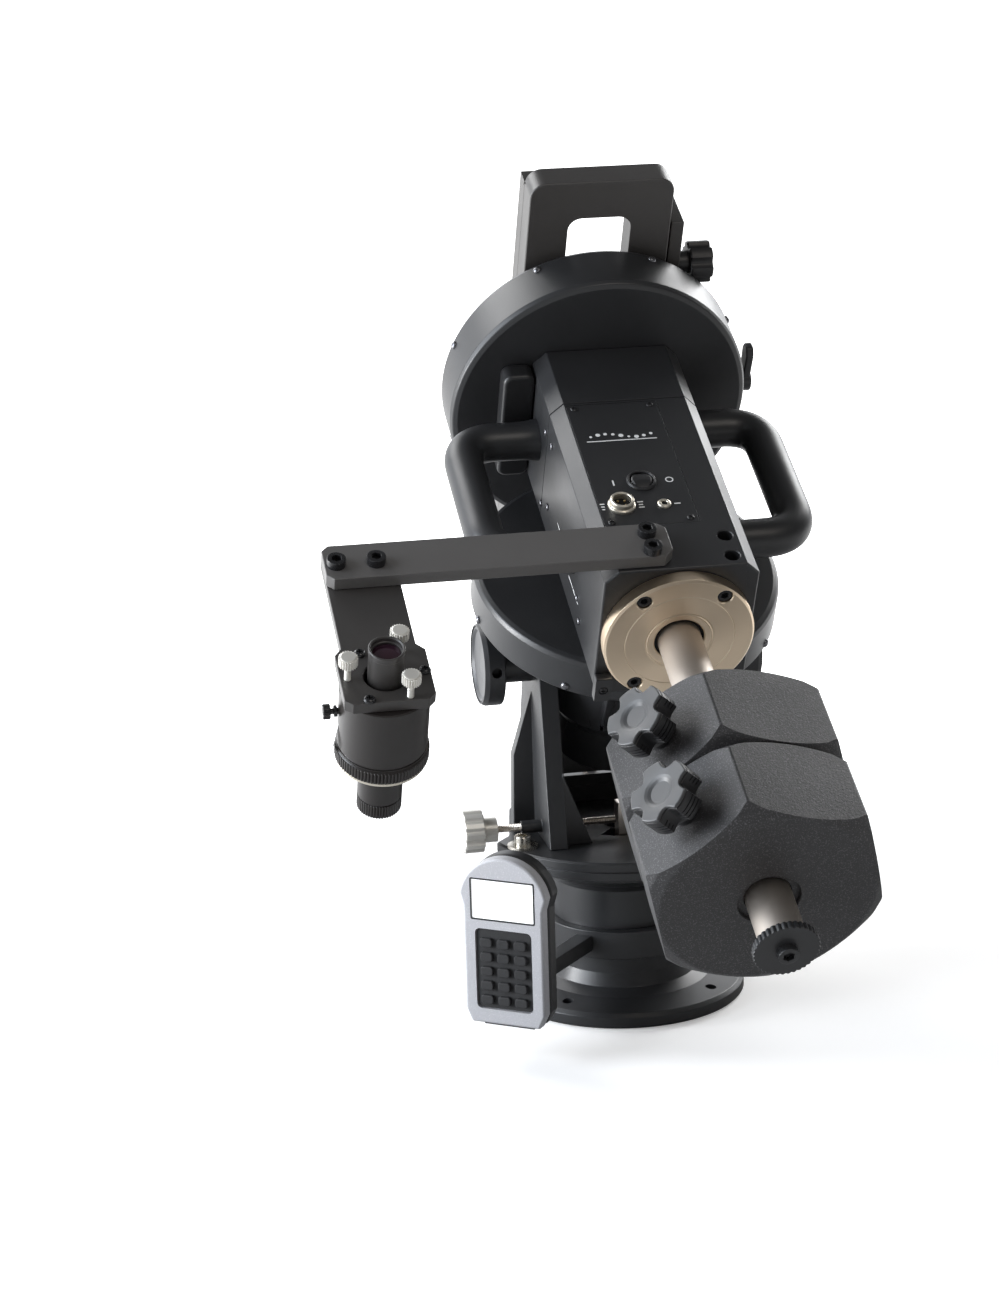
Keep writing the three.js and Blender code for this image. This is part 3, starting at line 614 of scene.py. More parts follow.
def housing():
    outline = rounded(soft_box(BOX_LOW.x, BOX_HIGH.x, BOX_LOW.z, BOX_HIGH.z, CHAMFER, 1), 1.6)
    seam = PANEL_HIGH.y + 2.4
    stations = [(BOX_LOW.y, 1.6), (BOX_LOW.y + 0.3, 0.8), (BOX_LOW.y + 0.9, 0.2), (BOX_LOW.y + 1.6, 0),
        (seam - 0.4, 0), (seam, 0.5), (seam + 0.1, 1.1), (seam + 0.7, 1.1), (seam + 0.8, 0.5),
        (seam + 1.2, 0), (BOX_HIGH.y - 1, 0), (BOX_HIGH.y, 1)]
    body = loft([[(u, place, v) for u, v in inset(outline, depth)] for place, depth in stations])
    gap = 0.4
    recess = soft_box(PANEL_LOW.x - gap, PANEL_HIGH.x + gap, PANEL_LOW.y - gap, PANEL_HIGH.y + gap, 1.5, 3)
    lid = slab(recess, FRONT - 2.9, FRONT + 2, edge=0)
    holes = [lathe([(5.4, FRONT - 15), (5.4, FRONT - 0.7), (6.1, FRONT), (6.1, FRONT + 1)], "z", (37, s),
        0.1, 40) for s in (43.8, 22)]
    piece(cut(body, lid, *holes), "dec_housing_shell", "black_paint", "dec_housing")


def side_details():
    side = BOX_LOW.x
    places = [(210, 27), (189, 30), (205, -36), (184, -23), (78, -22), (66, -34)]
    left = [((side, s, p), (-1, 0, 0)) for s, p in places]
    right = [((-side, s, p), (1, 0, 0)) for s, p in places]
    screws("side_cover_screws", "chrome", lambda: pan_head(2.7, 1.5), left + right, look=BRIGHT_SCREW)
    rules = [box((side - 0.12, side + 0.05), (74, 106), (-25, -24), 0),
        box((side - 0.12, side + 0.05), (128, 152), (-13, -12.2), 0)]
    piece(group(rules), "side_rules", "silver_knob", look=WHITE_INK)
    catch = cut(box((side, side + 12), (BOX_LOW.y - 7, BOX_LOW.y), (-57.5, -36), 1.2),
        rod("y", 3.4, BOX_LOW.y - 9, BOX_LOW.y - 5.4, (side + 6, -47)))
    piece(catch, "end_catch", "black_paint")
    screws("end_catch_screw", "chrome", lambda: pan_head(3, 2), [(side + 6, BOX_LOW.y - 5.4, -47)],
        (0, -1, 0), look=BLACK_SCREW)


def panel():
    sheet = slab(soft_box(PANEL_LOW.x, PANEL_HIGH.x, PANEL_LOW.y, PANEL_HIGH.y, 1.2, 3), FRONT - 2.5, FRONT,
        edge=0.25)
    well = rod("z", 8.6, FRONT - 9, FRONT + 3, ROCKER.xy, 0)
    piece(cut(sheet, well), "front_panel_sheet", "black_paint", "front_panel")
    bezel = ring([(8.6, FRONT - 6), (10.9, FRONT - 6), (10.9, FRONT + 0.6), (10.2, FRONT + 2),
        (9.2, FRONT + 2.3), (8.6, FRONT + 1.6)], "z", ROCKER.xy, 0.4)
    piece(bezel, "rocker_bezel", "black_plastic")
    dome = rod("x", 15, ROCKER.x - 8, ROCKER.x + 8, (ROCKER.y, FRONT - 12.2), 0.2, 160)
    rocker = common(dome, lathe([(7.8, FRONT - 5), (7.8, FRONT + 1.4), (6.6, FRONT + 2.5), (0, FRONT + 3)],
        "z", ROCKER.xy, 0.6))
    piece(rocker, "rocker_cap", "black_plastic", "power_switch")
    places = [(x, y, FRONT) for x in (PANEL_HIGH.x - 5.5, PANEL_LOW.x + 5.5)
        for y in (PANEL_LOW.y + 4.5, PANEL_HIGH.y - 4.5)]
    screws("panel_screws", "chrome", lambda: pan_head(2.6, 1.1), places, (0, 0, 1), look=BLACK_SCREW)


def dash(x, y, wide, tall):
    return box((x - wide / 2, x + wide / 2), (y - tall / 2, y + tall / 2), (FRONT, FRONT + INK), 0)


def printed_marks():
    """Plain marks in white ink: a rule with star dots, on and off signs, and ticks by the sockets."""
    marks = [dash(-12, 158, 52, 1.0)]
    for i in range(9):
        size = 2.2 + 1.6 * sin(i * 1.9) ** 2
        at = (-34 + i * 5.6, 163.5 + 2.4 * sin(i * 0.8))
        marks.append(rod("z", size / 2, FRONT, FRONT + INK, at, 0, 20))
    off = [(3.0, FRONT), (3.0, FRONT + INK), (2.1, FRONT + INK), (2.1, FRONT)]
    marks.append(ring(off, "z", (ROCKER.x + 20.5, ROCKER.y), 0, 24))
    marks.append(dash(ROCKER.x - 20.5, ROCKER.y, 1.1, 6))
    for i in range(3):
        marks.append(dash(CONNECTOR.x - 13.5, CONNECTOR.y + 3 - 3 * i, 3.4 - 0.7 * i, 1.1))
        marks.append(dash(CONNECTOR.x + 14, CONNECTOR.y + 3 - 3 * i, 4.2 - 1.1 * (i % 2), 1.2))
    marks.append(dash(JACK.x + 9.5, JACK.y, 4.6, 1.2))
    piece(group(marks), "panel_marks", "silver_knob", look=WHITE_INK)


def sockets():
    f = FRONT
    shell = ring([(9.9, f - 0.1), (9.9, f + 1.6), (9.2, f + 2.2), (8.6, f + 2.4), (8.6, f + 5.6),
        (7.9, f + 6.4), (7, f + 6.4), (6.5, f + 5.8), (6.5, f - 0.1)], "z", CONNECTOR.xy, 0.3)
    piece(shell, "power_socket_ring", "chrome", "power_connector", look=SOCKET_NICKEL)
    # The socket's black insert, painted darker still for the shade inside the socket.
    insert = rod("z", 6.5, f + 0.2, f + 1.4, CONNECTOR.xy, 0.1)
    piece(insert, "power_socket_insert", "black_plastic", look=PAINTED_SHADE)
    pins = [lathe([(0.8, f + 1), (0.8, f + 2.6), (0.5, f + 3)], "z", at, 0.2, 20)
        for at in arc(3.4, 45, 315, 3, CONNECTOR.x, CONNECTOR.y)]
    piece(group(pins), "power_socket_pins", "brass")
    jack = ring([(4.9, f - 0.1), (4.9, f + 1), (4.3, f + 1.6), (3.4, f + 2), (2.5, f + 1.8), (2.2, f + 1.4),
        (2.2, f - 0.1)], "z", JACK.xy, 0.25, 48)
    piece(jack, "snap_jack_ring", "brass", "snap_jack", look=SOCKET_NICKEL)
    # A dark disc that closes the jack's bore: painted shade.
    piece(rod("z", 2.3, f + 0.02, f + 0.3, JACK.xy, 0, 24), "snap_jack_bore_shade", "black_plastic", look=PAINTED_SHADE)


def handles():
    low, high = span("handle_left")
    thick = (high.z - low.z) / 2
    grip = low.x + thick
    ends = (low.y + thick, high.y - thick)
    turn = 30
    step, flare = 4, 4  # millimetres between sections, and sections in a foot
    flat = [(BOX_LOW.x - 0.2, ends[0]), (grip, ends[0]), (grip, ends[1]), (BOX_LOW.x - 0.2, ends[1])]
    corner = rounded(flat, turn, closed=False, steps=14)
    path = []
    for a, b in zip(corner, corner[1:]):
        gap = dist(a, b)
        count = max(1, round(gap / step))
        path += [Vector((a[0] + (b[0] - a[0]) * k / count, a[1] + (b[1] - a[1]) * k / count, 0))
            for k in range(count)]
    path.append(Vector((*corner[-1], 0)))

    def size(t):
        """A little thicker at the two feet, over the first and last few sections."""
        foot = max(0.0, 1 - min(t, 1 - t) * len(path) / flare)
        return thick * (1 + 0.12 * foot * foot)

    for side, place in (("left", HEAD), ("right", HEAD @ MIRROR)):
        piece(sweep(path, size, 48), f"handle_{side}_grip", "black_paint", f"handle_{side}", place=place)


def motor_cover():
    low, high = span("dec_motor_cover")
    cover = slab(soft_box(low.x, high.x, low.z, high.z, 7), low.y, high.y, "y", 3, 5)
    piece(cover, "dec_motor_cover_shell", "black_plastic", "dec_motor_cover")


# ---------- counterweight shaft ----------
FLANGE_R = span("counterweight_flange")[1].x
SHAFT_R = span("counterweight_shaft")[1].x
FLANGE_SCREWS = [(28.7 * u, 37.35 * v) for u in (-1, 1) for v in (-1, 1)]


def flange():
    r, end = FLANGE_R, BOX_LOW.y - 0.1
    bore = SHAFT_R + 2.4
    profile = [(bore, 1.2), (bore + 1, 0.5), (22.4, 0.5), (23.4, -0.1), (24, 0.5), (25, 0), (39.1, 0),
        (39.5, 0.5), (39.9, 0), (r - 1.5, 0), (r, 1.5), (r, end - 0.8), (r - 0.8, end), (bore, end)]
    disc = ring(profile, "y", fillet=0.25, steps=192)
    wells = [lathe([(5.4, 6), (5.4, 0.7), (6.3, -0.3), (6.3, -3)], "y", at, 0.1, 48)
        for at in FLANGE_SCREWS]
    piece(cut(disc, *wells), "counterweight_flange_disc", "steel", "counterweight_flange",
        look=FLANGE_STEEL)
    screws("flange_screws", "black_plastic", lambda: socket_head(5.1, 4.4, 5),
        [(x, 5.9, p) for x, p in FLANGE_SCREWS], (0, -1, 0), look=BLACK_SCREW)
    # A dark ring that fills the gap round the shaft: painted shade.
    gap_shade = ring([(SHAFT_R + 0.2, 3), (bore + 0.1, 3), (bore + 0.1, 6), (SHAFT_R + 0.2, 6)], "y", fillet=0.1)
    piece(gap_shade, "shaft_gap_shade", "black_plastic", look=PAINTED_SHADE)


def shaft():
    low, high = span("counterweight_shaft")
    bar = lathe([(SHAFT_R - 1.2, low.y), (SHAFT_R, low.y + 1.2), (SHAFT_R, high.y)], "y", fillet=0.3,
        steps=128)
    piece(bar, "counterweight_shaft_bar", "steel", "counterweight_shaft", look=SHAFT_STEEL)
    low, high = span("shaft_end_stop")
    cap = slab(ribbed(high.x, 36, 0.9), low.y + 4, high.y, "y", 0.6)
    bolt = moved(socket_head(7, 5.5, 7), stand((0, low.y + 4.5, 0), (0, -1, 0)))
    piece(group([cap, bolt]), "shaft_end_stop_cap", "black_paint", "shaft_end_stop")


def counterweights():
    corner = 84
    turned = 12
    for name in ("upper", "lower"):
        low, high = span(f"counterweight_{name}")
        top, bottom = high.y, low.y
        hexagonal = slab(rounded(arc(corner, -15, 285, 5), 2.5, steps=5), bottom, top, "y", 0)
        r = corner + 1
        ends = lathe([(r - turned - 1, bottom), (r - turned * 0.45, bottom + turned * 0.4),
            (r, bottom + turned), (r, top - turned), (r - turned * 0.45, top - turned * 0.4),
            (r - turned - 1, top)], "y", fillet=6, steps=192)
        bore = lathe([(22, bottom - 1), (21, bottom + 0.6), (21, bottom + 4), (SHAFT_R + 0.4, bottom + 4),
            (SHAFT_R + 0.4, top - 0.8), (SHAFT_R + 1.4, top + 1)], "y", fillet=0.2, steps=128)
        weight = cut(common(hexagonal, ends), bore)
        piece(weight, f"counterweight_{name}_block", "weight_paint", f"counterweight_{name}")
        clamp_knob(name, (top + bottom) / 2, corner * cos(pi / 6))


def clamp_knob(name, at, face):
    """A five-lobed knob on the weight's flat, made along +x and turned to face the left and the front."""
    facing = Matrix.Translation((0, at, 0)) @ Matrix.Rotation(radians(-135), 4, "Y")
    node = f"counterweight_knob_{name}"
    body = slab(lobed(22.5, 5, 6, 0.75, 16), face + 12, face + 27.4, "x", 1.2, 4)
    grooves = [ring([(19, w), (24, w), (24, w + 0.8), (19, w + 0.8)], "x", fillet=0.1)
        for w in (face + 15.5, face + 18.5, face + 21.5)]
    neck = lathe([(5, SHAFT_R + 1), (5, face + 0.6), (10.5, face + 0.6), (10.5, face + 4), (8.5, face + 7),
        (9.5, face + 12.5)], "x", fillet=0.5)
    piece(join(cut(body, *grooves), neck), f"{node}_body", "black_plastic", node, place=HEAD @ facing)
    cap = slab(lobed(22.3, 5, 6.2, 0.75, 16), face + 27.2, face + 30, "x", 1.3, 4)
    dish = lathe([(0, face + 27.4), (7.5, face + 27.5), (9.6, face + 28.6), (11.6, face + 29.3),
        (20, face + 30.3), (20, face + 33)], "x", fillet=0.8)
    piece(cut(cap, dish), f"{node}_cap", "grey_plastic", body=body_of(node), place=HEAD @ facing,
        look=KNOB_FACE)


# ---------- polar scope ----------
SCOPE = middle("scope_tube").xy
SCOPE_FRONT = span("scope_plate")[1].z


def scope_arm():
    low, high = span("scope_bar")
    outline = [(low.x, low.y + 5), (low.x + 5, low.y), (high.x - 6.4, low.y), (high.x, low.y + 7),
        (high.x, high.y - 5), (high.x - 5.4, high.y), (low.x + 5, high.y), (low.x, high.y - 5)]
    # The bar takes the paler copy of the black anodising: painted light on its top.
    piece(slab(rounded(outline, 0.8), low.z, high.z, edge=0.7), "scope_bar_arm", "black_anodised",
        "scope_bar", look=BAR_BLACK_PAINTED_LIGHT)
    places = [(-21.4, 39.6), (-21.4, 21.1), (low.x + 8.2, 30), (low.x + 35.5, 29.6)]
    screws("scope_bar_screws", "black_plastic", lambda: socket_head(6.6, 6, 6.4),
        [(x, s, high.z) for x, s in places], (0, 0, 1), look=BLACK_SCREW)


def scope_plate():
    low, high = span("scope_plate")
    neck = (low.x + 4.8, high.x - 5.5)
    outline = [(neck[0], high.y), (neck[0], -44), (low.x, -50), (low.x, low.y + 4.5), (low.x + 5.3, low.y),
        (high.x - 5.5, low.y), (high.x, low.y + 6), (high.x, -50), (neck[1], -44), (neck[1], high.y)]
    plate = slab(rounded(outline, 0.8), low.z, high.z, edge=0.6)
    eye = lathe([(14.6, low.z - 2), (14.6, high.z - 0.8), (15.4, high.z), (15.4, high.z + 2)], "z", SCOPE,
        0.2)
    piece(cut(plate, eye), "scope_drop_plate", "black_anodised", "scope_plate")
    screws("scope_plate_screws", "chrome", lambda: pan_head(4.1, 2.6),
        [(x, s, high.z) for x, s in arc(26.6, 4, 238, 2, *SCOPE)], (0, 0, 1), look=BLACK_SCREW)


def scope_body():
    low, high = span("scope_barrel")
    r = (high.x - low.x) / 2
    barrel = ring([(16, high.z), (r - 0.8, high.z), (r, high.z - 0.8), (r, low.z + 2.6),
        (r - 1, low.z + 2.2), (r - 1, low.z + 1), (r, low.z + 0.8), (r, low.z), (16, low.z)], "z", SCOPE,
        0.3, 160)
    piece(barrel, "scope_barrel_tube", "black_anodised", "scope_barrel", look=BARREL_BLACK)
    low, high = span("scope_tube")
    end = high.z
    front = lathe([(12, low.z), (12, end - 4.4), (12.3, end - 4), (12.3, end - 0.5), (11.8, end),
        (11.1, end), (10.4, end - 0.8), (10.4, end - 3.4), (9.6, end - 3.8), (9.6, end - 6)], "z", SCOPE,
        0.25, 128)
    piece(front, "scope_front_tube", "black_anodised", "scope_tube")
    lens = lathe([(9.7, end - 6.2), (9.7, end - 5), (6.5, end - 4.2), (3.2, end - 3.8), (0, end - 3.7)],
        "z", SCOPE, 0.8)
    piece(lens, "scope_front_lens", "screen", look=LENS)


def focus_parts():
    low, high = span("scope_focus_ring")
    r = (high.x - low.x) / 2
    grip = slab(shifted(ribbed(r, 84, 0.9), SCOPE), low.z + 0.8, high.z - 0.8, edge=0.5)
    core = ring([(15.7, low.z), (r - 1.6, low.z), (r - 0.8, low.z + 0.8), (r - 1.4, low.z + 1.2),
        (r - 1.4, high.z - 1.2), (r - 0.8, high.z - 0.8), (r - 1.6, high.z), (15.7, high.z)], "z", SCOPE,
        0.1)
    bore = rod("z", 15.9, low.z - 2, high.z + 2, SCOPE, 0)
    piece(join(cut(grip, bore), core), "scope_focus_ring_grip", "black_anodised", "scope_focus_ring",
        look=BARREL_BLACK)
    index = ring([(15.8, low.z - 2), (r - 1.2, low.z - 2), (r - 1.2, low.z - 0.1), (15.8, low.z - 0.1)],
        "z", SCOPE, 0.2)
    piece(index, "scope_index_ring", "chrome", look=SOCKET_NICKEL)
    low, high = span("scope_eyepiece")
    r = 15.4
    step = low.z + 12
    smooth = lathe([(r - 1.1, step - 3), (r - 1.1, step + 0.4), (r, step + 1), (r, high.z)], "z", SCOPE, 0.3)
    knurl = slab(shifted(ribbed(r, 48, 0.7), SCOPE), low.z + 0.6, step - 0.4, edge=0.6)
    eye = lathe([(9.4, low.z - 3), (9, low.z + 0.6), (6, low.z + 3)], "z", SCOPE, 0.2)
    piece(join(smooth, cut(knurl, eye)), "scope_eyepiece_body", "black_anodised", "scope_eyepiece",
        look=BARREL_BLACK)


def scope_screws():
    f = SCOPE_FRONT
    for i in (1, 2, 3):
        node = f"scope_thumbscrew_{i}"
        low, high = span(node)
        at = ((low + high) / 2).xy
        head = slab(shifted(ribbed(6.5, 22, 0.9), at), high.z - 7.4, high.z - 0.7, edge=0.3)
        stem = lathe([(2.1, low.z), *thread(2.1, f + 0.5, f + 8, 0.8), (2.1, f + 9), (3.6, f + 10),
            (3.6, high.z - 7), (5.4, high.z - 6.8), (5.4, high.z - 0.3), (4.6, high.z)], "z", at, 0.1, 48)
        piece(join(head, stem), f"{node}_body", "silver_knob", node)
    low, high = span("scope_side_screw")
    at = ((low + high) / 2).yz
    head = slab(shifted(ribbed(5.2, 24, 0.5), at), low.x, low.x + 5, "x", 0.5)
    stem = lathe([(2.6, low.x - 0.1), (2.6, low.x + 0.4), (3.2, low.x + 4.8), (2, low.x + 5.4),
        (2, low.x + 7), (4, low.x + 7.4), (4, low.x + 9.4), (2.2, low.x + 9.8), (2.2, high.x)], "x", at,
        0.15, 48)
    piece(join(head, stem), "scope_side_screw_body", "black_anodised", "scope_side_screw", look=BLACK_SCREW)


def scope_tab():
    """The end of a clear strap that stands off the barrel's left side."""
    x = span("scope_barrel")[0].x
    s = SCOPE[1]
    line = [(x + 0.6, 18, 1.6), (x - 0.6, 12, 2.4), (x - 2.2, 5, 4), (x - 3.4, -1, 4.2), (x - 4.6, -7, 2.2),
        (x - 5.4, -11, 1.0)]
    sections = [[(u - 0.35, s - w, p), (u + 0.35, s - w, p), (u + 0.35, s + w, p), (u - 0.35, s + w, p)]
        for u, p, w in line]
    piece(loft(sections), "scope_strap_end", "silver_knob", look=CLEAR_TAB)


# ---------- drums ----------
DRUM_FILLET = 2.4
DRUM_STEPS = 240


def drum_screws(name, centre, axis, radius, angles, body):
    """Small domed screws in a drum's rim."""
    ways = [Vector(spot(axis, cos(a), sin(a), 0)) for a in map(radians, angles)]
    places = [(Vector(centre) + way * (radius - 0.2), way) for way in ways]
    screws(name, "chrome", lambda: dome_head(3.2, 2.4), places, body=body, look=BRIGHT_SCREW)


def ra_drum():
    low, high = span("ra_drum")
    r = high.x
    y = (low.y + high.y) / 2
    a, b = low.z, high.z
    profile = [(24, a), (r - 3, a), (r, a + 3), (r, b - 5), (r - 1.5, b - 1.5), (r - 5, b), (52, b),
        (50, b - 1.2), (46, b - 1.2), (46, b - 6), (r - 9, b - 6), (r - 9, a + 7), (24, a + 7)]
    piece(ring(profile, "z", (0, y), DRUM_FILLET, DRUM_STEPS), "ra_drum_cover", "black_paint", "ra_drum")
    drum_screws("ra_drum_screws", (0, y, a + 6.5), "z", r, (18, 62, 100, 142, 188, 236, 281, 325), POLAR_BODY)


def dec_drum():
    low, high = span("dec_drum")
    r = high.x
    a, b = low.y, high.y
    profile = [(31, a), (r - 5, a), (r - 1.5, a + 1.5), (r, a + 5), (r, b - 6), (r - 2, b - 2), (r - 6, b),
        (46, b), (46, b - 6), (r - 9, b - 6), (r - 9, a + 7), (31, a + 7)]
    piece(ring(profile, "y", (0, 0), DRUM_FILLET, DRUM_STEPS), "dec_drum_cover", "black_paint", "dec_drum")
    drum_screws("dec_drum_screws", (0, b - 10, 0), "y", r, range(25, 360, 45), HEAD_BODY)


def clutch_levers():
    """A hub with a flared paddle, made about +y with its paddle towards +z."""
    polar_turn = Matrix(((0, 1, 0, 0), (0, 0, 1, 0), (-1, 0, 0, 0), (0, 0, 0, 1)))
    dec_turn = Matrix.Rotation(radians(-90), 4, "Z")
    for node, place in (("ra_clutch_lever", polar_turn), ("dec_clutch_lever", dec_turn)):
        low, high = span(node)
        outline = [(-5, 0), (-7.2, 27), (-4, 33), (4, 33), (7.2, 27), (5, 0)]
        paddle = slab(rounded(outline, 4), 2, 8, "y", 1.2)
        hub = lathe([(4, -8), (4, 0), (8.5, 0), (8.5, 8.2), (7.7, 9)], "y", fillet=0.4)
        lever = soften(join(hub, paddle), 0.5, 2)
        moved(lever, place)
        own_low, own_high = corners([vertex.co for vertex in lever.data.vertices])
        moved(lever, Matrix.Translation((low + high - own_low - own_high) / 2))
        piece(lever, f"{node}_arm", "black_paint", node)


# ---------- polar housing ----------
POLAR_AT = middle("ra_drum").y


def ra_housing():
    a = (Vector(JOINTS["altitude"]["pos_m"]) - HEAD.translation).dot(POLAR_AXIS) / MM
    b = span("ra_housing")[1].z
    y = POLAR_AT
    tube = ring([(22, a - 85), (41, a - 85), (44, a - 82), (44, a - 46), (50, a - 36), (50, a + 36),
        (66, a + 46), (66, b), (22, b)], "z", (0, y), 1.6, 160)
    trunnion = lathe([(23, -52.6), (24, -51.6), (24, 51.6), (23, 52.6)], "x", (y, a), 0.6)
    ear = slab(rounded([(y + 40, a - 56), (y + 40, a - 84), (y + 62, a - 95), (y + 73, a - 91),
        (y + 72, a - 80)], 4), -5, 5, "x", 0.6)
    ribs = [slab([(y - 49, a - 30), (y - 62, a + 50), (y - 40, a + 50), (y - 40, a - 30)], x - 3, x + 3,
        "x", 0) for x in (-16, 16)]
    body = join(tube, trunnion, ear, *ribs)
    tools = [rod("z", 22, a - 90, b + 1, (0, y), 0, 96), rod("x", 10, 33, 60, (y, a), 0),
        rod("x", 10, -60, -33, (y, a), 0)]
    piece(soften(cut(body, *tools), 1.1, 3), "ra_housing_casting", "cast_paint", "ra_housing")
    heads = [(u, v, a - 85) for u, v in arc(33, 30, 330, 5, 0, y)]
    screws("ra_end_screws", "black_plastic", lambda: socket_head(3.4, 2.6, 3), heads, (0, 0, -1),
        POLAR_BODY, BLACK_SCREW)
    low, high = span("ra_motor_cover")
    cover = slab(soft_box(low.y, high.y, low.z, high.z, 6), low.x, high.x, "x", 3, 5)
    piece(cover, "ra_motor_cover_shell", "black_plastic", "ra_motor_cover")


# ---------- fork and base ----------
ALT_HEIGHT = JOINTS["altitude"]["pos_m"][2] / MM
TABLE_LOW, TABLE_HIGH = span("turntable", BASE)
SCREW_AT = middle("azimuth_knob_right", BASE).yz


def fork_arms():
    h, base = ALT_HEIGHT, TABLE_HIGH.z
    for side, place in SIDES:
        outline = [(-57, base), (75, base), (30.2, h - 4)] + arc(30.5, -4, 184, 32, 0, h)
        plate = slab(outline, 53, 67, "x", 0.9)
        rib_outline = [(66, h - 22), (67, h - 24), (75.5, h - 51), (82.5, h - 74), (84, base), (66, base)]
        rib = slab(rib_outline, 0, 11, "y", 0)
        sleeve = rod("x", 4.8, 66, 83, SCREW_AT, 0.4)
        gusset = slab([(54, h - 78), (54, base), (32, base)], -47, -37, "y", 0)
        back = slab(rounded([(16, h - 40), (24, h - 40), (48, h - 118), (16, h - 118)], 3), 64, 90, "x", 0)
        arm = cut(join(plate, rib, sleeve, gusset), back, rod("x", 10, 40, 100, (0, h), 0),
            rod("x", 3.7, 20, 100, SCREW_AT, 0))
        piece(soften(arm, 0.9, 3), f"fork_arm_{side}_casting", "cast_paint", f"fork_arm_{side}",
            place=place)


def lock_knobs():
    h = ALT_HEIGHT
    for side, place in SIDES:
        node = f"altitude_lock_{side}"
        profile = [(9.6, 34), (9.6, 67.4), (15.6, 67.4), (15.6, 90), (17, 92), (31, 92), (32, 93),
            (32, 104.4), (30.4, 108), (29.2, 108), (28.8, 102.6)]
        knob = cut(lathe(profile, "x", (0, h), 0.5, 128), rod("y", 4, -40, -22, (99, h), 0, 32))
        piece(knob, f"{node}_body", "black_paint", node, place=place)
        face = lathe([(29, 103), (29, 107), (27.4, 107.6), (25.4, 105.6), (14, 103.8), (0, 103.6)], "x",
            (0, h), 0.6, 128)
        piece(face, f"{node}_face", "silver_knob", body=body_of(node), place=place, look=DISHED_FACE)


def azimuth_drive():
    low, high = span("azimuth_screw_right", BASE)
    for side, place in SIDES:
        node = f"azimuth_knob_{side}"
        grip = slab(shifted(lobed(16.5, 12, 1.7, 0.6, 10), SCREW_AT), 113.2, 128.6, "x", 1.0, 4)
        sleeve = rounded([(0, 102.4), (0, 113.6), (9.5, 113.6), (9.5, 102.4)], 0.6, closed=False)
        hub = loft([[spot("x", SCREW_AT[0] + r * u, SCREW_AT[1] + r * v, x) for u, v in turn_points(96)]
            for r, x in sleeve])
        dish = lathe([(0, 127.9), (12, 128.1), (13, 130)], "x", SCREW_AT, 0.3)
        piece(join(cut(grip, dish), hub), f"{node}_body", "silver_knob", node, place=place)
        profile = [(2.3, low.x), *thread(2.7, low.x + 0.4, high.x - 0.8, 1.25), (2.3, high.x)]
        piece(lathe(profile, "x", SCREW_AT, 0.05, 32), f"azimuth_screw_{side}_thread", "steel",
            f"azimuth_screw_{side}", place=place)


def turntable():
    r, low, high = TABLE_HIGH.x, TABLE_LOW.z, TABLE_HIGH.z
    split = (low + high) / 2
    disc = ring([(12.4, low), (r - 2, low), (r, low + 1), (r, split - 0.5), (r - 0.9, split - 0.4),
        (r - 0.9, split + 0.4), (r, split + 0.5), (r, high - 1.4), (r - 1.4, high), (12.4, high)], "z",
        fillet=0.4, steps=240)
    slot = slab(arc(34.5, -128, -52, 20) + arc(16.5, -52, -128, 12), low - 1, high + 1, edge=0)
    notch = slab(soft_box(-25, 25, 82, 125, 4), low - 1, high + 1, edge=0)
    flat = ((100, -22), (90, -10), (86, 2), (85, 14), (76, 58), (60, 90), (60, 130), (130, 130), (130, -22))
    flats = [slab([(way * x, y) for x, y in flat], low - 1, high + 1, edge=0) for way in (1, -1)]
    disc = soften(cut(disc, slot, notch, *flats), 0.5, 2, 50)
    piece(disc, "turntable_disc", "black_paint", "turntable", place=BASE)
    bolts = [(x, y, high) for x, y in ((-85, -40), (85, -40), (-42, 76), (42, 76))]
    screws("turntable_bolts", "chrome", lambda: hex_bolt(13.5, 7), bolts, (0, 0, 1), FORK_BODY, place=BASE)


def pier_adapter():
    top = span("pier_adapter", BASE)[1].z
    t = TABLE_LOW.z - 0.4
    profile = [(11, top), (12, top - 0.8), (12, t), (70, t), (70, 108), (58, 101), (54, 96), (54, 30),
        (58, 20), (68, 15.5), (92, 12), (95, 9), (95, 2), (93, 0), (44, 0), (44, 100), (14, 100), (14, 0)]
    foot = lathe(profile, "z", fillet=1.2, steps=160)
    holes = [rod("z", 4.3, -1, 20, at, 0, 40) for at in arc(80, 45, 315, 3)]
    piece(cut(foot, *holes), "pier_adapter_casting", "black_paint", "pier_adapter", place=BASE)
    low, high = span("azimuth_post", BASE)
    post = box((low.x, high.x), (low.y, high.y), (low.z, high.z), 0.8)
    piece(post, "azimuth_post_block", "steel", "azimuth_post", place=BASE)


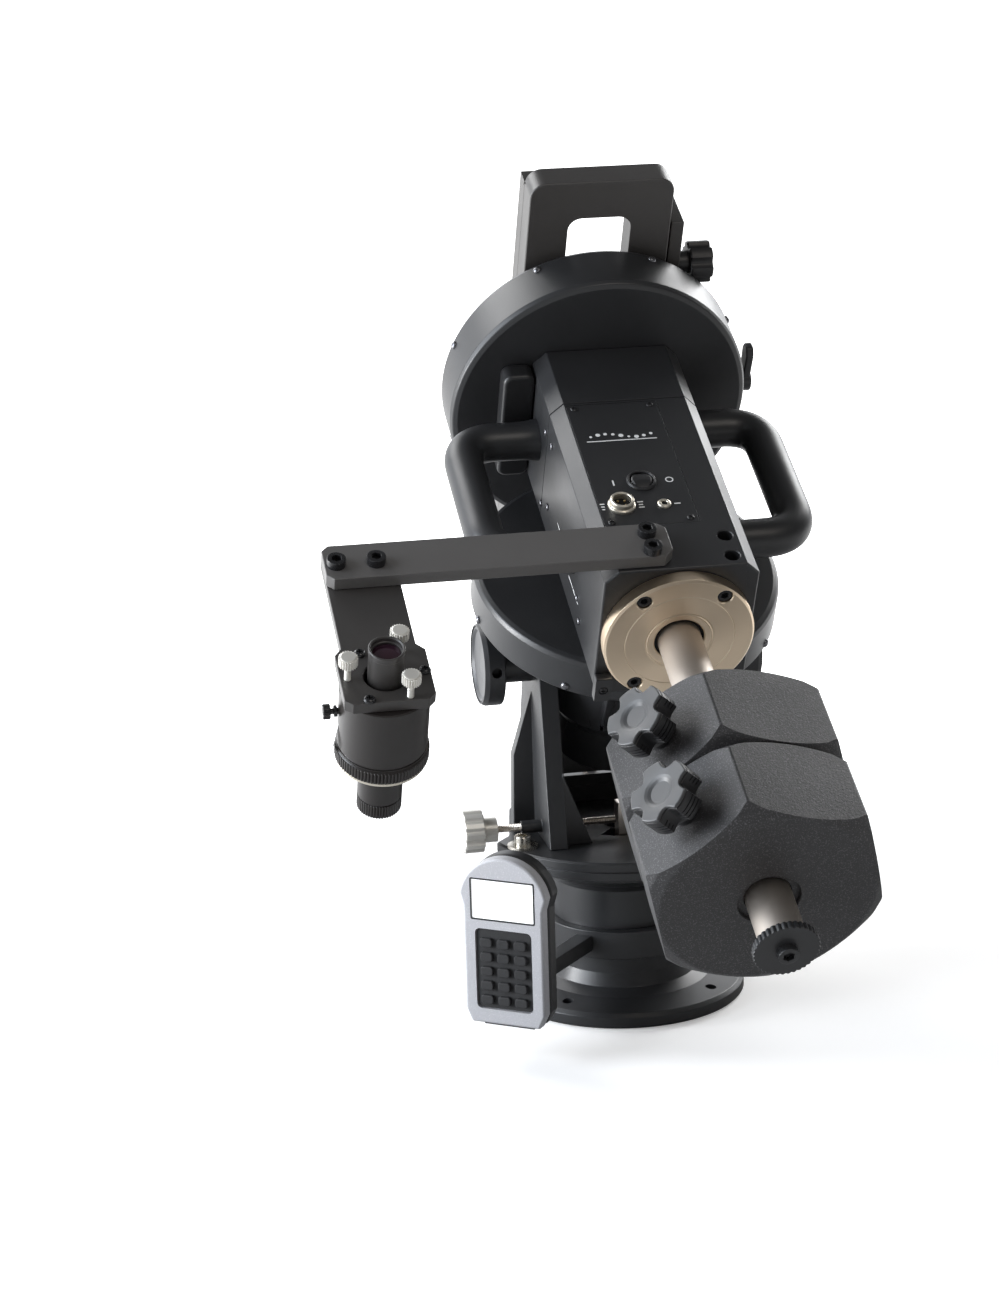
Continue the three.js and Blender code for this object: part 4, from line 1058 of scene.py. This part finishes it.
def altitude_drive():
    low, high = span("altitude_bracket", BASE)
    at = middle("altitude_screw", BASE)
    plate = slab(rounded([(-30, low.y), (30, low.y), (30, 86), (14, high.y), (-14, high.y), (-30, 86)], 3),
        low.z, high.z, edge=0.8)
    wall = box((-52.6, 52.6), (60.5, 63.5), (low.z, low.z + 42), 0.8)
    wall = cut(wall, box((-46, 46), (59, 65), (low.z + 22.5, low.z + 24.7), 0))
    hole = rod("z", 6.4, low.z - 1, high.z + 1, (0, at.y), 0)
    piece(join(cut(plate, hole), wall), "altitude_bracket_plate", "black_paint", "altitude_bracket",
        place=BASE)
    low, high = span("altitude_screw", BASE)
    eye = high.z - 8
    wheel_low, wheel_high = low.z, low.z + 14
    profile = [(5, low.z), (5, wheel_high), *thread(5.5, wheel_high, eye - 26, 1.75), (5.5, eye - 24)]
    stem = lathe(profile, "z", (0, at.y), 0.05, 32)
    grip = slab(shifted(lobed(20, 10, 1.6, 0.7, 8), (0, at.y)), wheel_low, wheel_high, edge=1.2)
    block = box((-10, 10), (at.y - 7, at.y + 7), (eye - 29, eye + 8), 1)
    slot = box((-5.6, 5.6), (at.y - 9, at.y + 9), (eye - 22, eye + 9), 0)
    window = box((-12, 12), (at.y - 3.5, at.y + 3.5), (eye - 8, eye + 4), 0)
    piece(join(stem, grip, cut(block, slot, window)), "altitude_screw_body", "steel", "altitude_screw",
        place=BASE)


# ---------- saddle ----------
def saddle():
    low, high = span("saddle")
    s, top = low.y, low.y + 22
    plate = slab(soft_box(low.x, high.x, low.z, high.z, 12, 8), s, top, "y", 1.2)
    rail = slab(rounded([(low.x, s + 21), (-34, s + 21), (-44, high.y), (low.x, high.y)], 0.8), low.z + 12,
        high.z - 12, "z", 0.6)
    windows = [slab(soft_box(-24, 24, p - 36, p + 36, 10, 6), s - 1, s + 25, "y", 0) for p in (-102, 102)]
    body = soften(cut(join(plate, rail), *windows), 0.7, 2)
    piece(body, "saddle_plate", "black_anodised", "saddle")
    heads = [(x, top, p) for x in (-16, 16) for p in (-30, 30)]
    screws("saddle_screws", "black_plastic", lambda: socket_head(6.5, 3, 6), heads, (0, 1, 0), DEC_BODY,
        BLACK_SCREW)
    low, high = span("saddle_jaw")
    outline = [(34, s + 22.3), (56, s + 22.3), (56, s + 1), (66, s + 1), (66, s + 38), (44, s + 38)]
    piece(slab(rounded(outline, 0.8), low.z, high.z, "z", 0.8), "saddle_jaw_rail", "black_anodised",
        "saddle_jaw")
    for name in ("front", "back"):
        node = f"saddle_knob_{name}"
        at = middle(node).yz
        grip = slab(shifted(lobed(16, 6, 3, 0.8, 12), at), 75, 93, "x", 1.6, 4)
        stem = lathe([(3.8, 32), (3.8, 66.3), (9, 66.3), (9, 75.2)], "x", at, 0.4)
        piece(join(grip, stem), f"{node}_body", "black_plastic", node)


# ---------- hand controller ----------
def handset_frame():
    """x across its face, y into it, z up, from the middle of the hand controller."""
    inward = joint_axis("keypad_press")
    across = inward.cross(UP)
    rough = local_frame(across, inward, UP, Vector())
    low, high = span("handset_front", rough)
    back = span("handset_back", rough)[1]
    centre = Vector(((low.x + high.x) / 2, (low.y + back.y) / 2, (low.z + high.z) / 2 + 2))
    return local_frame(across, inward, UP, rough @ centre)


HANDSET = handset_frame()


def handset_outline(half, bottom, top):
    neck = 0.9 * half
    shoulder = top - half * 0.8
    crown = arc(half, 11, 169, 40, 0, shoulder - half * 0.2)
    return [(-neck * 0.86, bottom), (neck * 0.86, bottom), (neck, bottom + 10), (neck, shoulder - 10),
        *crown, (-neck, shoulder - 10), (-neck, bottom + 10)]


def handset():
    low, high = span("handset_front", HANDSET)
    back = span("handset_back", HANDSET)[1].y
    face, seam = low.y, high.y
    bottom, top = low.z, high.z
    key_low, key_high = span("handset_keypad", HANDSET)
    glass_low, glass_high = span("handset_display", HANDSET)
    window = (glass_low.x + 1, glass_high.x - 1, glass_low.z + 1, glass_high.z - 1)
    outline = rounded(handset_outline(high.x, bottom, top), 2.5)
    front = slab(outline, face, seam, "y", 2.2, 5)
    opening = slab(soft_box(window[0] - 1.2, window[1] + 1.2, window[2] - 1.2, window[3] + 1.2, 1.5),
        face - 1, face + 3, "y", 0)
    pad = slab(soft_box(-22.5, 22.5, key_low.z + 1, key_high.z - 1, 4), face - 1, face + 3, "y", 0)
    piece(cut(front, opening, pad), "handset_front_shell", "grey_plastic", "handset_front", place=HANDSET)
    rim = cut(slab(soft_box(window[0] - 1.1, window[1] + 1.1, window[2] - 1.1, window[3] + 1.1, 1.4),
        face - 0.25, face + 3.2, "y", 0.2), slab(soft_box(*window, 0.8), face - 1, face + 5, "y", 0))
    piece(rim, "handset_screen_rim", "black_plastic", body=body_of("handset_front"), place=HANDSET)
    screen = slab(soft_box(*window, 0.8), face + 0.5, face + 3.1, "y", 0.1)
    piece(screen, "handset_screen", "screen", "handset_display", place=HANDSET)
    rear = slab(outline, seam + 0.2, back, "y", 3.5, 6)
    piece(rear, "handset_back_shell", "black_plastic", "handset_back", place=HANDSET)
    mat = soft_box(-21.8, 21.8, key_low.z + 1.7, key_high.z - 1.7, 3.5)
    keys = [slab(mat, face + 1.4, face + 3.1, "y", 0.2)]
    for row in range(5):
        for column in (-1, 0, 1):
            z = bottom + 19 + row * 11
            x = column * 13.5
            key = soft_box(x - 4.9, x + 4.9, z - 3.5, z + 3.5, 2.2)
            keys.append(slab(key, face - 1.5, face + 2, "y", 0.9))
    piece(join(*keys), "handset_keys", "rubber", "handset_keypad", place=HANDSET)


def handset_holder():
    low, high = span("handset_back", HANDSET)
    rear = high.y + 0.4
    floor = low.z - 0.4
    clamp = cut(ring([(54.3, 44), (62, 44), (62, 66), (54.3, 66)], "z", fillet=0.8, steps=128),
        box((50, 70), (-6, 6), (40, 70), 0))
    at = HANDSET.translation / MM
    out = hypot(at.x, at.y)
    arm = box((-7, 7), (-(out - 15), -58), (50, 62), 1)
    moved(arm, Matrix.Rotation(atan2(at.x, -at.y), 4, "Z"))
    cradle = join(box((-20, 20), (rear, rear + 4), (floor - 3, 30), 0.8),
        box((-20, 20), (-6, rear + 4), (floor - 3, floor), 0.8))
    moved(cradle, BASE.inverted() @ HANDSET)
    piece(join(clamp, arm, cradle), "handset_holder_bracket", "black_paint", "handset_holder", place=BASE)


# ---------- what stays from the CAD ----------
KEPT = {"circuit_board": "board", "ra_worm": "steel", "ra_worm_wheel": "bronze", "ra_shaft": "steel",
    "dec_worm": "steel", "dec_worm_wheel": "bronze", "dec_shaft": "steel"}


def keep_cad():
    for node, look in KEPT.items():
        item = frame["nodes"][node]
        item.data.materials.clear()
        item.data.materials.append(LOOKS[look])


# ---------- studio ----------
CAMERA_AT = (-0.5013, -2.1753, 0.8332)
AZIMUTH, ELEVATION, ROLL = -10.698, 14.032, -1.769
LENS_MM = 83.08
AIM = (0, 0, 0.35)
WHITE = (1, 1, 1)
ROOM_COLOUR = (0.95, 0.97, 1.0, 1)
ROOM_BEHIND, ROOM_AROUND, ROOM_SEEN = 1.7, 0.15, 2.0  # brightness as a light, and what the camera sees more
FLOOR_HALF = 30
FLOOR_DROP = 0.0005  # below the part's own feet, so that the two faces never coincide
FLOOR_LIT, FLOOR_SEEN = (0.42, 0.42, 0.42, 1), (0.84, 0.84, 0.84, 1)
FLOOR_GLOW = 0.3


def camera():
    a, e = radians(AZIMUTH), radians(ELEVATION)
    back = Vector((sin(a) * cos(e), -cos(a) * cos(e), sin(e)))
    data = bpy.data.cameras.new("camera")
    data.lens = LENS_MM
    item = add_object("camera", data)
    item.location = CAMERA_AT
    item.rotation_mode = "QUATERNION"
    item.rotation_quaternion = (-back).to_track_quat("-Z", "Y") @ Quaternion((0, 0, 1), radians(ROLL))
    bpy.context.scene.camera = item


def softbox(name, at, size, power, tint=WHITE, aim=AIM):
    data = bpy.data.lights.new(name, "AREA")
    data.shape = "RECTANGLE"
    data.size, data.size_y = size
    data.energy = power
    data.color = tint
    item = add_object(name, data)
    item.location = at
    item.rotation_euler = (Vector(aim) - Vector(at)).to_track_quat("-Z", "Y").to_euler()


def ramp(tree, value, start, end, low=0.0, high=1.0):
    return add_node(tree, "MapRange", {"Value": value, "From Min": start, "From Max": end, "To Min": low,
        "To Max": high}, interpolation_type="SMOOTHSTEP").outputs[0]


def camera_ray(tree):
    return add_node(tree, "LightPath").outputs["Is Camera Ray"]


def white_room():
    """Plain white to the camera. As a light it is bright low down behind the object and dim overhead and in
    front, as in a product studio."""
    world = bpy.data.worlds.new("studio")
    world.use_nodes = True
    tree = world.node_tree
    way = add_node(tree, "SeparateXYZ", {0: add_node(tree, "TexCoord").outputs["Generated"]}).outputs
    behind = times(tree, ramp(tree, way[1], 0.1, 0.85), ramp(tree, way[2], 0.75, 0.3))
    light = plus(tree, times(tree, behind, ROOM_BEHIND), ROOM_AROUND)
    strength = plus(tree, light, times(tree, camera_ray(tree), ROOM_SEEN))
    plug(tree, tree.nodes["Background"], {"Color": ROOM_COLOUR, "Strength": strength})
    bpy.context.scene.world = world


def pale_floor():
    """A white sweep that is lit more strongly away from the object."""
    mesh = bpy.data.meshes.new("floor")
    corner_points = [(-FLOOR_HALF, -FLOOR_HALF, 0), (FLOOR_HALF, -FLOOR_HALF, 0),
        (FLOOR_HALF, FLOOR_HALF, 0), (-FLOOR_HALF, FLOOR_HALF, 0)]
    mesh.from_pydata(corner_points, [], [(0, 1, 2, 3)])
    look = surface("pale_floor", FLOOR_SEEN[:3], 0.9, depth=0.01, patch=0.01, edge=0, specular=0.0)
    tree = look.node_tree
    place = object_place(tree)
    away = add_node(tree, "VectorMath", {0: place}, operation="LENGTH").outputs["Value"]
    along = add_node(tree, "SeparateXYZ", {0: place}).outputs[1]
    far_glow = times(tree, ramp(tree, away, 0.3, 1.1), ramp(tree, along, -0.6, 0.4, 0.4, 1.6))
    glow = plus(tree, far_glow, times(tree, camera_ray(tree), FLOOR_GLOW))
    plug(tree, tree.nodes["Principled BSDF"], {"Emission Color": (*WHITE, 1), "Emission Strength": glow,
        "Base Color": mix_colour(tree, camera_ray(tree), FLOOR_LIT, FLOOR_SEEN)})
    mesh.materials.append(look)
    floor = add_object("floor", mesh)
    floor.location.z = -FLOOR_DROP


def studio():
    bpy.context.scene.view_settings.view_transform = "Standard"
    white_room()
    pale_floor()
    softbox("left_softbox", (-2.2, -0.2, 0.9), (1.5, 2.2), 80, (0.86, 0.92, 1.0))
    softbox("top_left_softbox", (-1.3, 1.6, 2.1), (1.2, 1.2), 30)
    softbox("front_fill", (0.5, -2.2, 2.4), (1.2, 1.2), 13, (1.0, 0.94, 0.87))
    softbox("low_left_fill", (-1.5, 0.1, 0.25), (0.4, 0.4), 14, aim=(-0.07, -0.03, 0.2))
    softbox("right_rim", (1.8, 1.6, 1.5), (1.2, 1.2), 35)


# ---------- build ----------
for build in (housing, side_details, panel, printed_marks, sockets, handles, motor_cover, flange, shaft,
        counterweights, scope_arm, scope_plate, scope_body, focus_parts, scope_screws, scope_tab, ra_drum,
        dec_drum, clutch_levers, ra_housing, fork_arms, lock_knobs, azimuth_drive, turntable, pier_adapter,
        altitude_drive, saddle, handset, handset_holder, keep_cad, camera, studio):
    build()
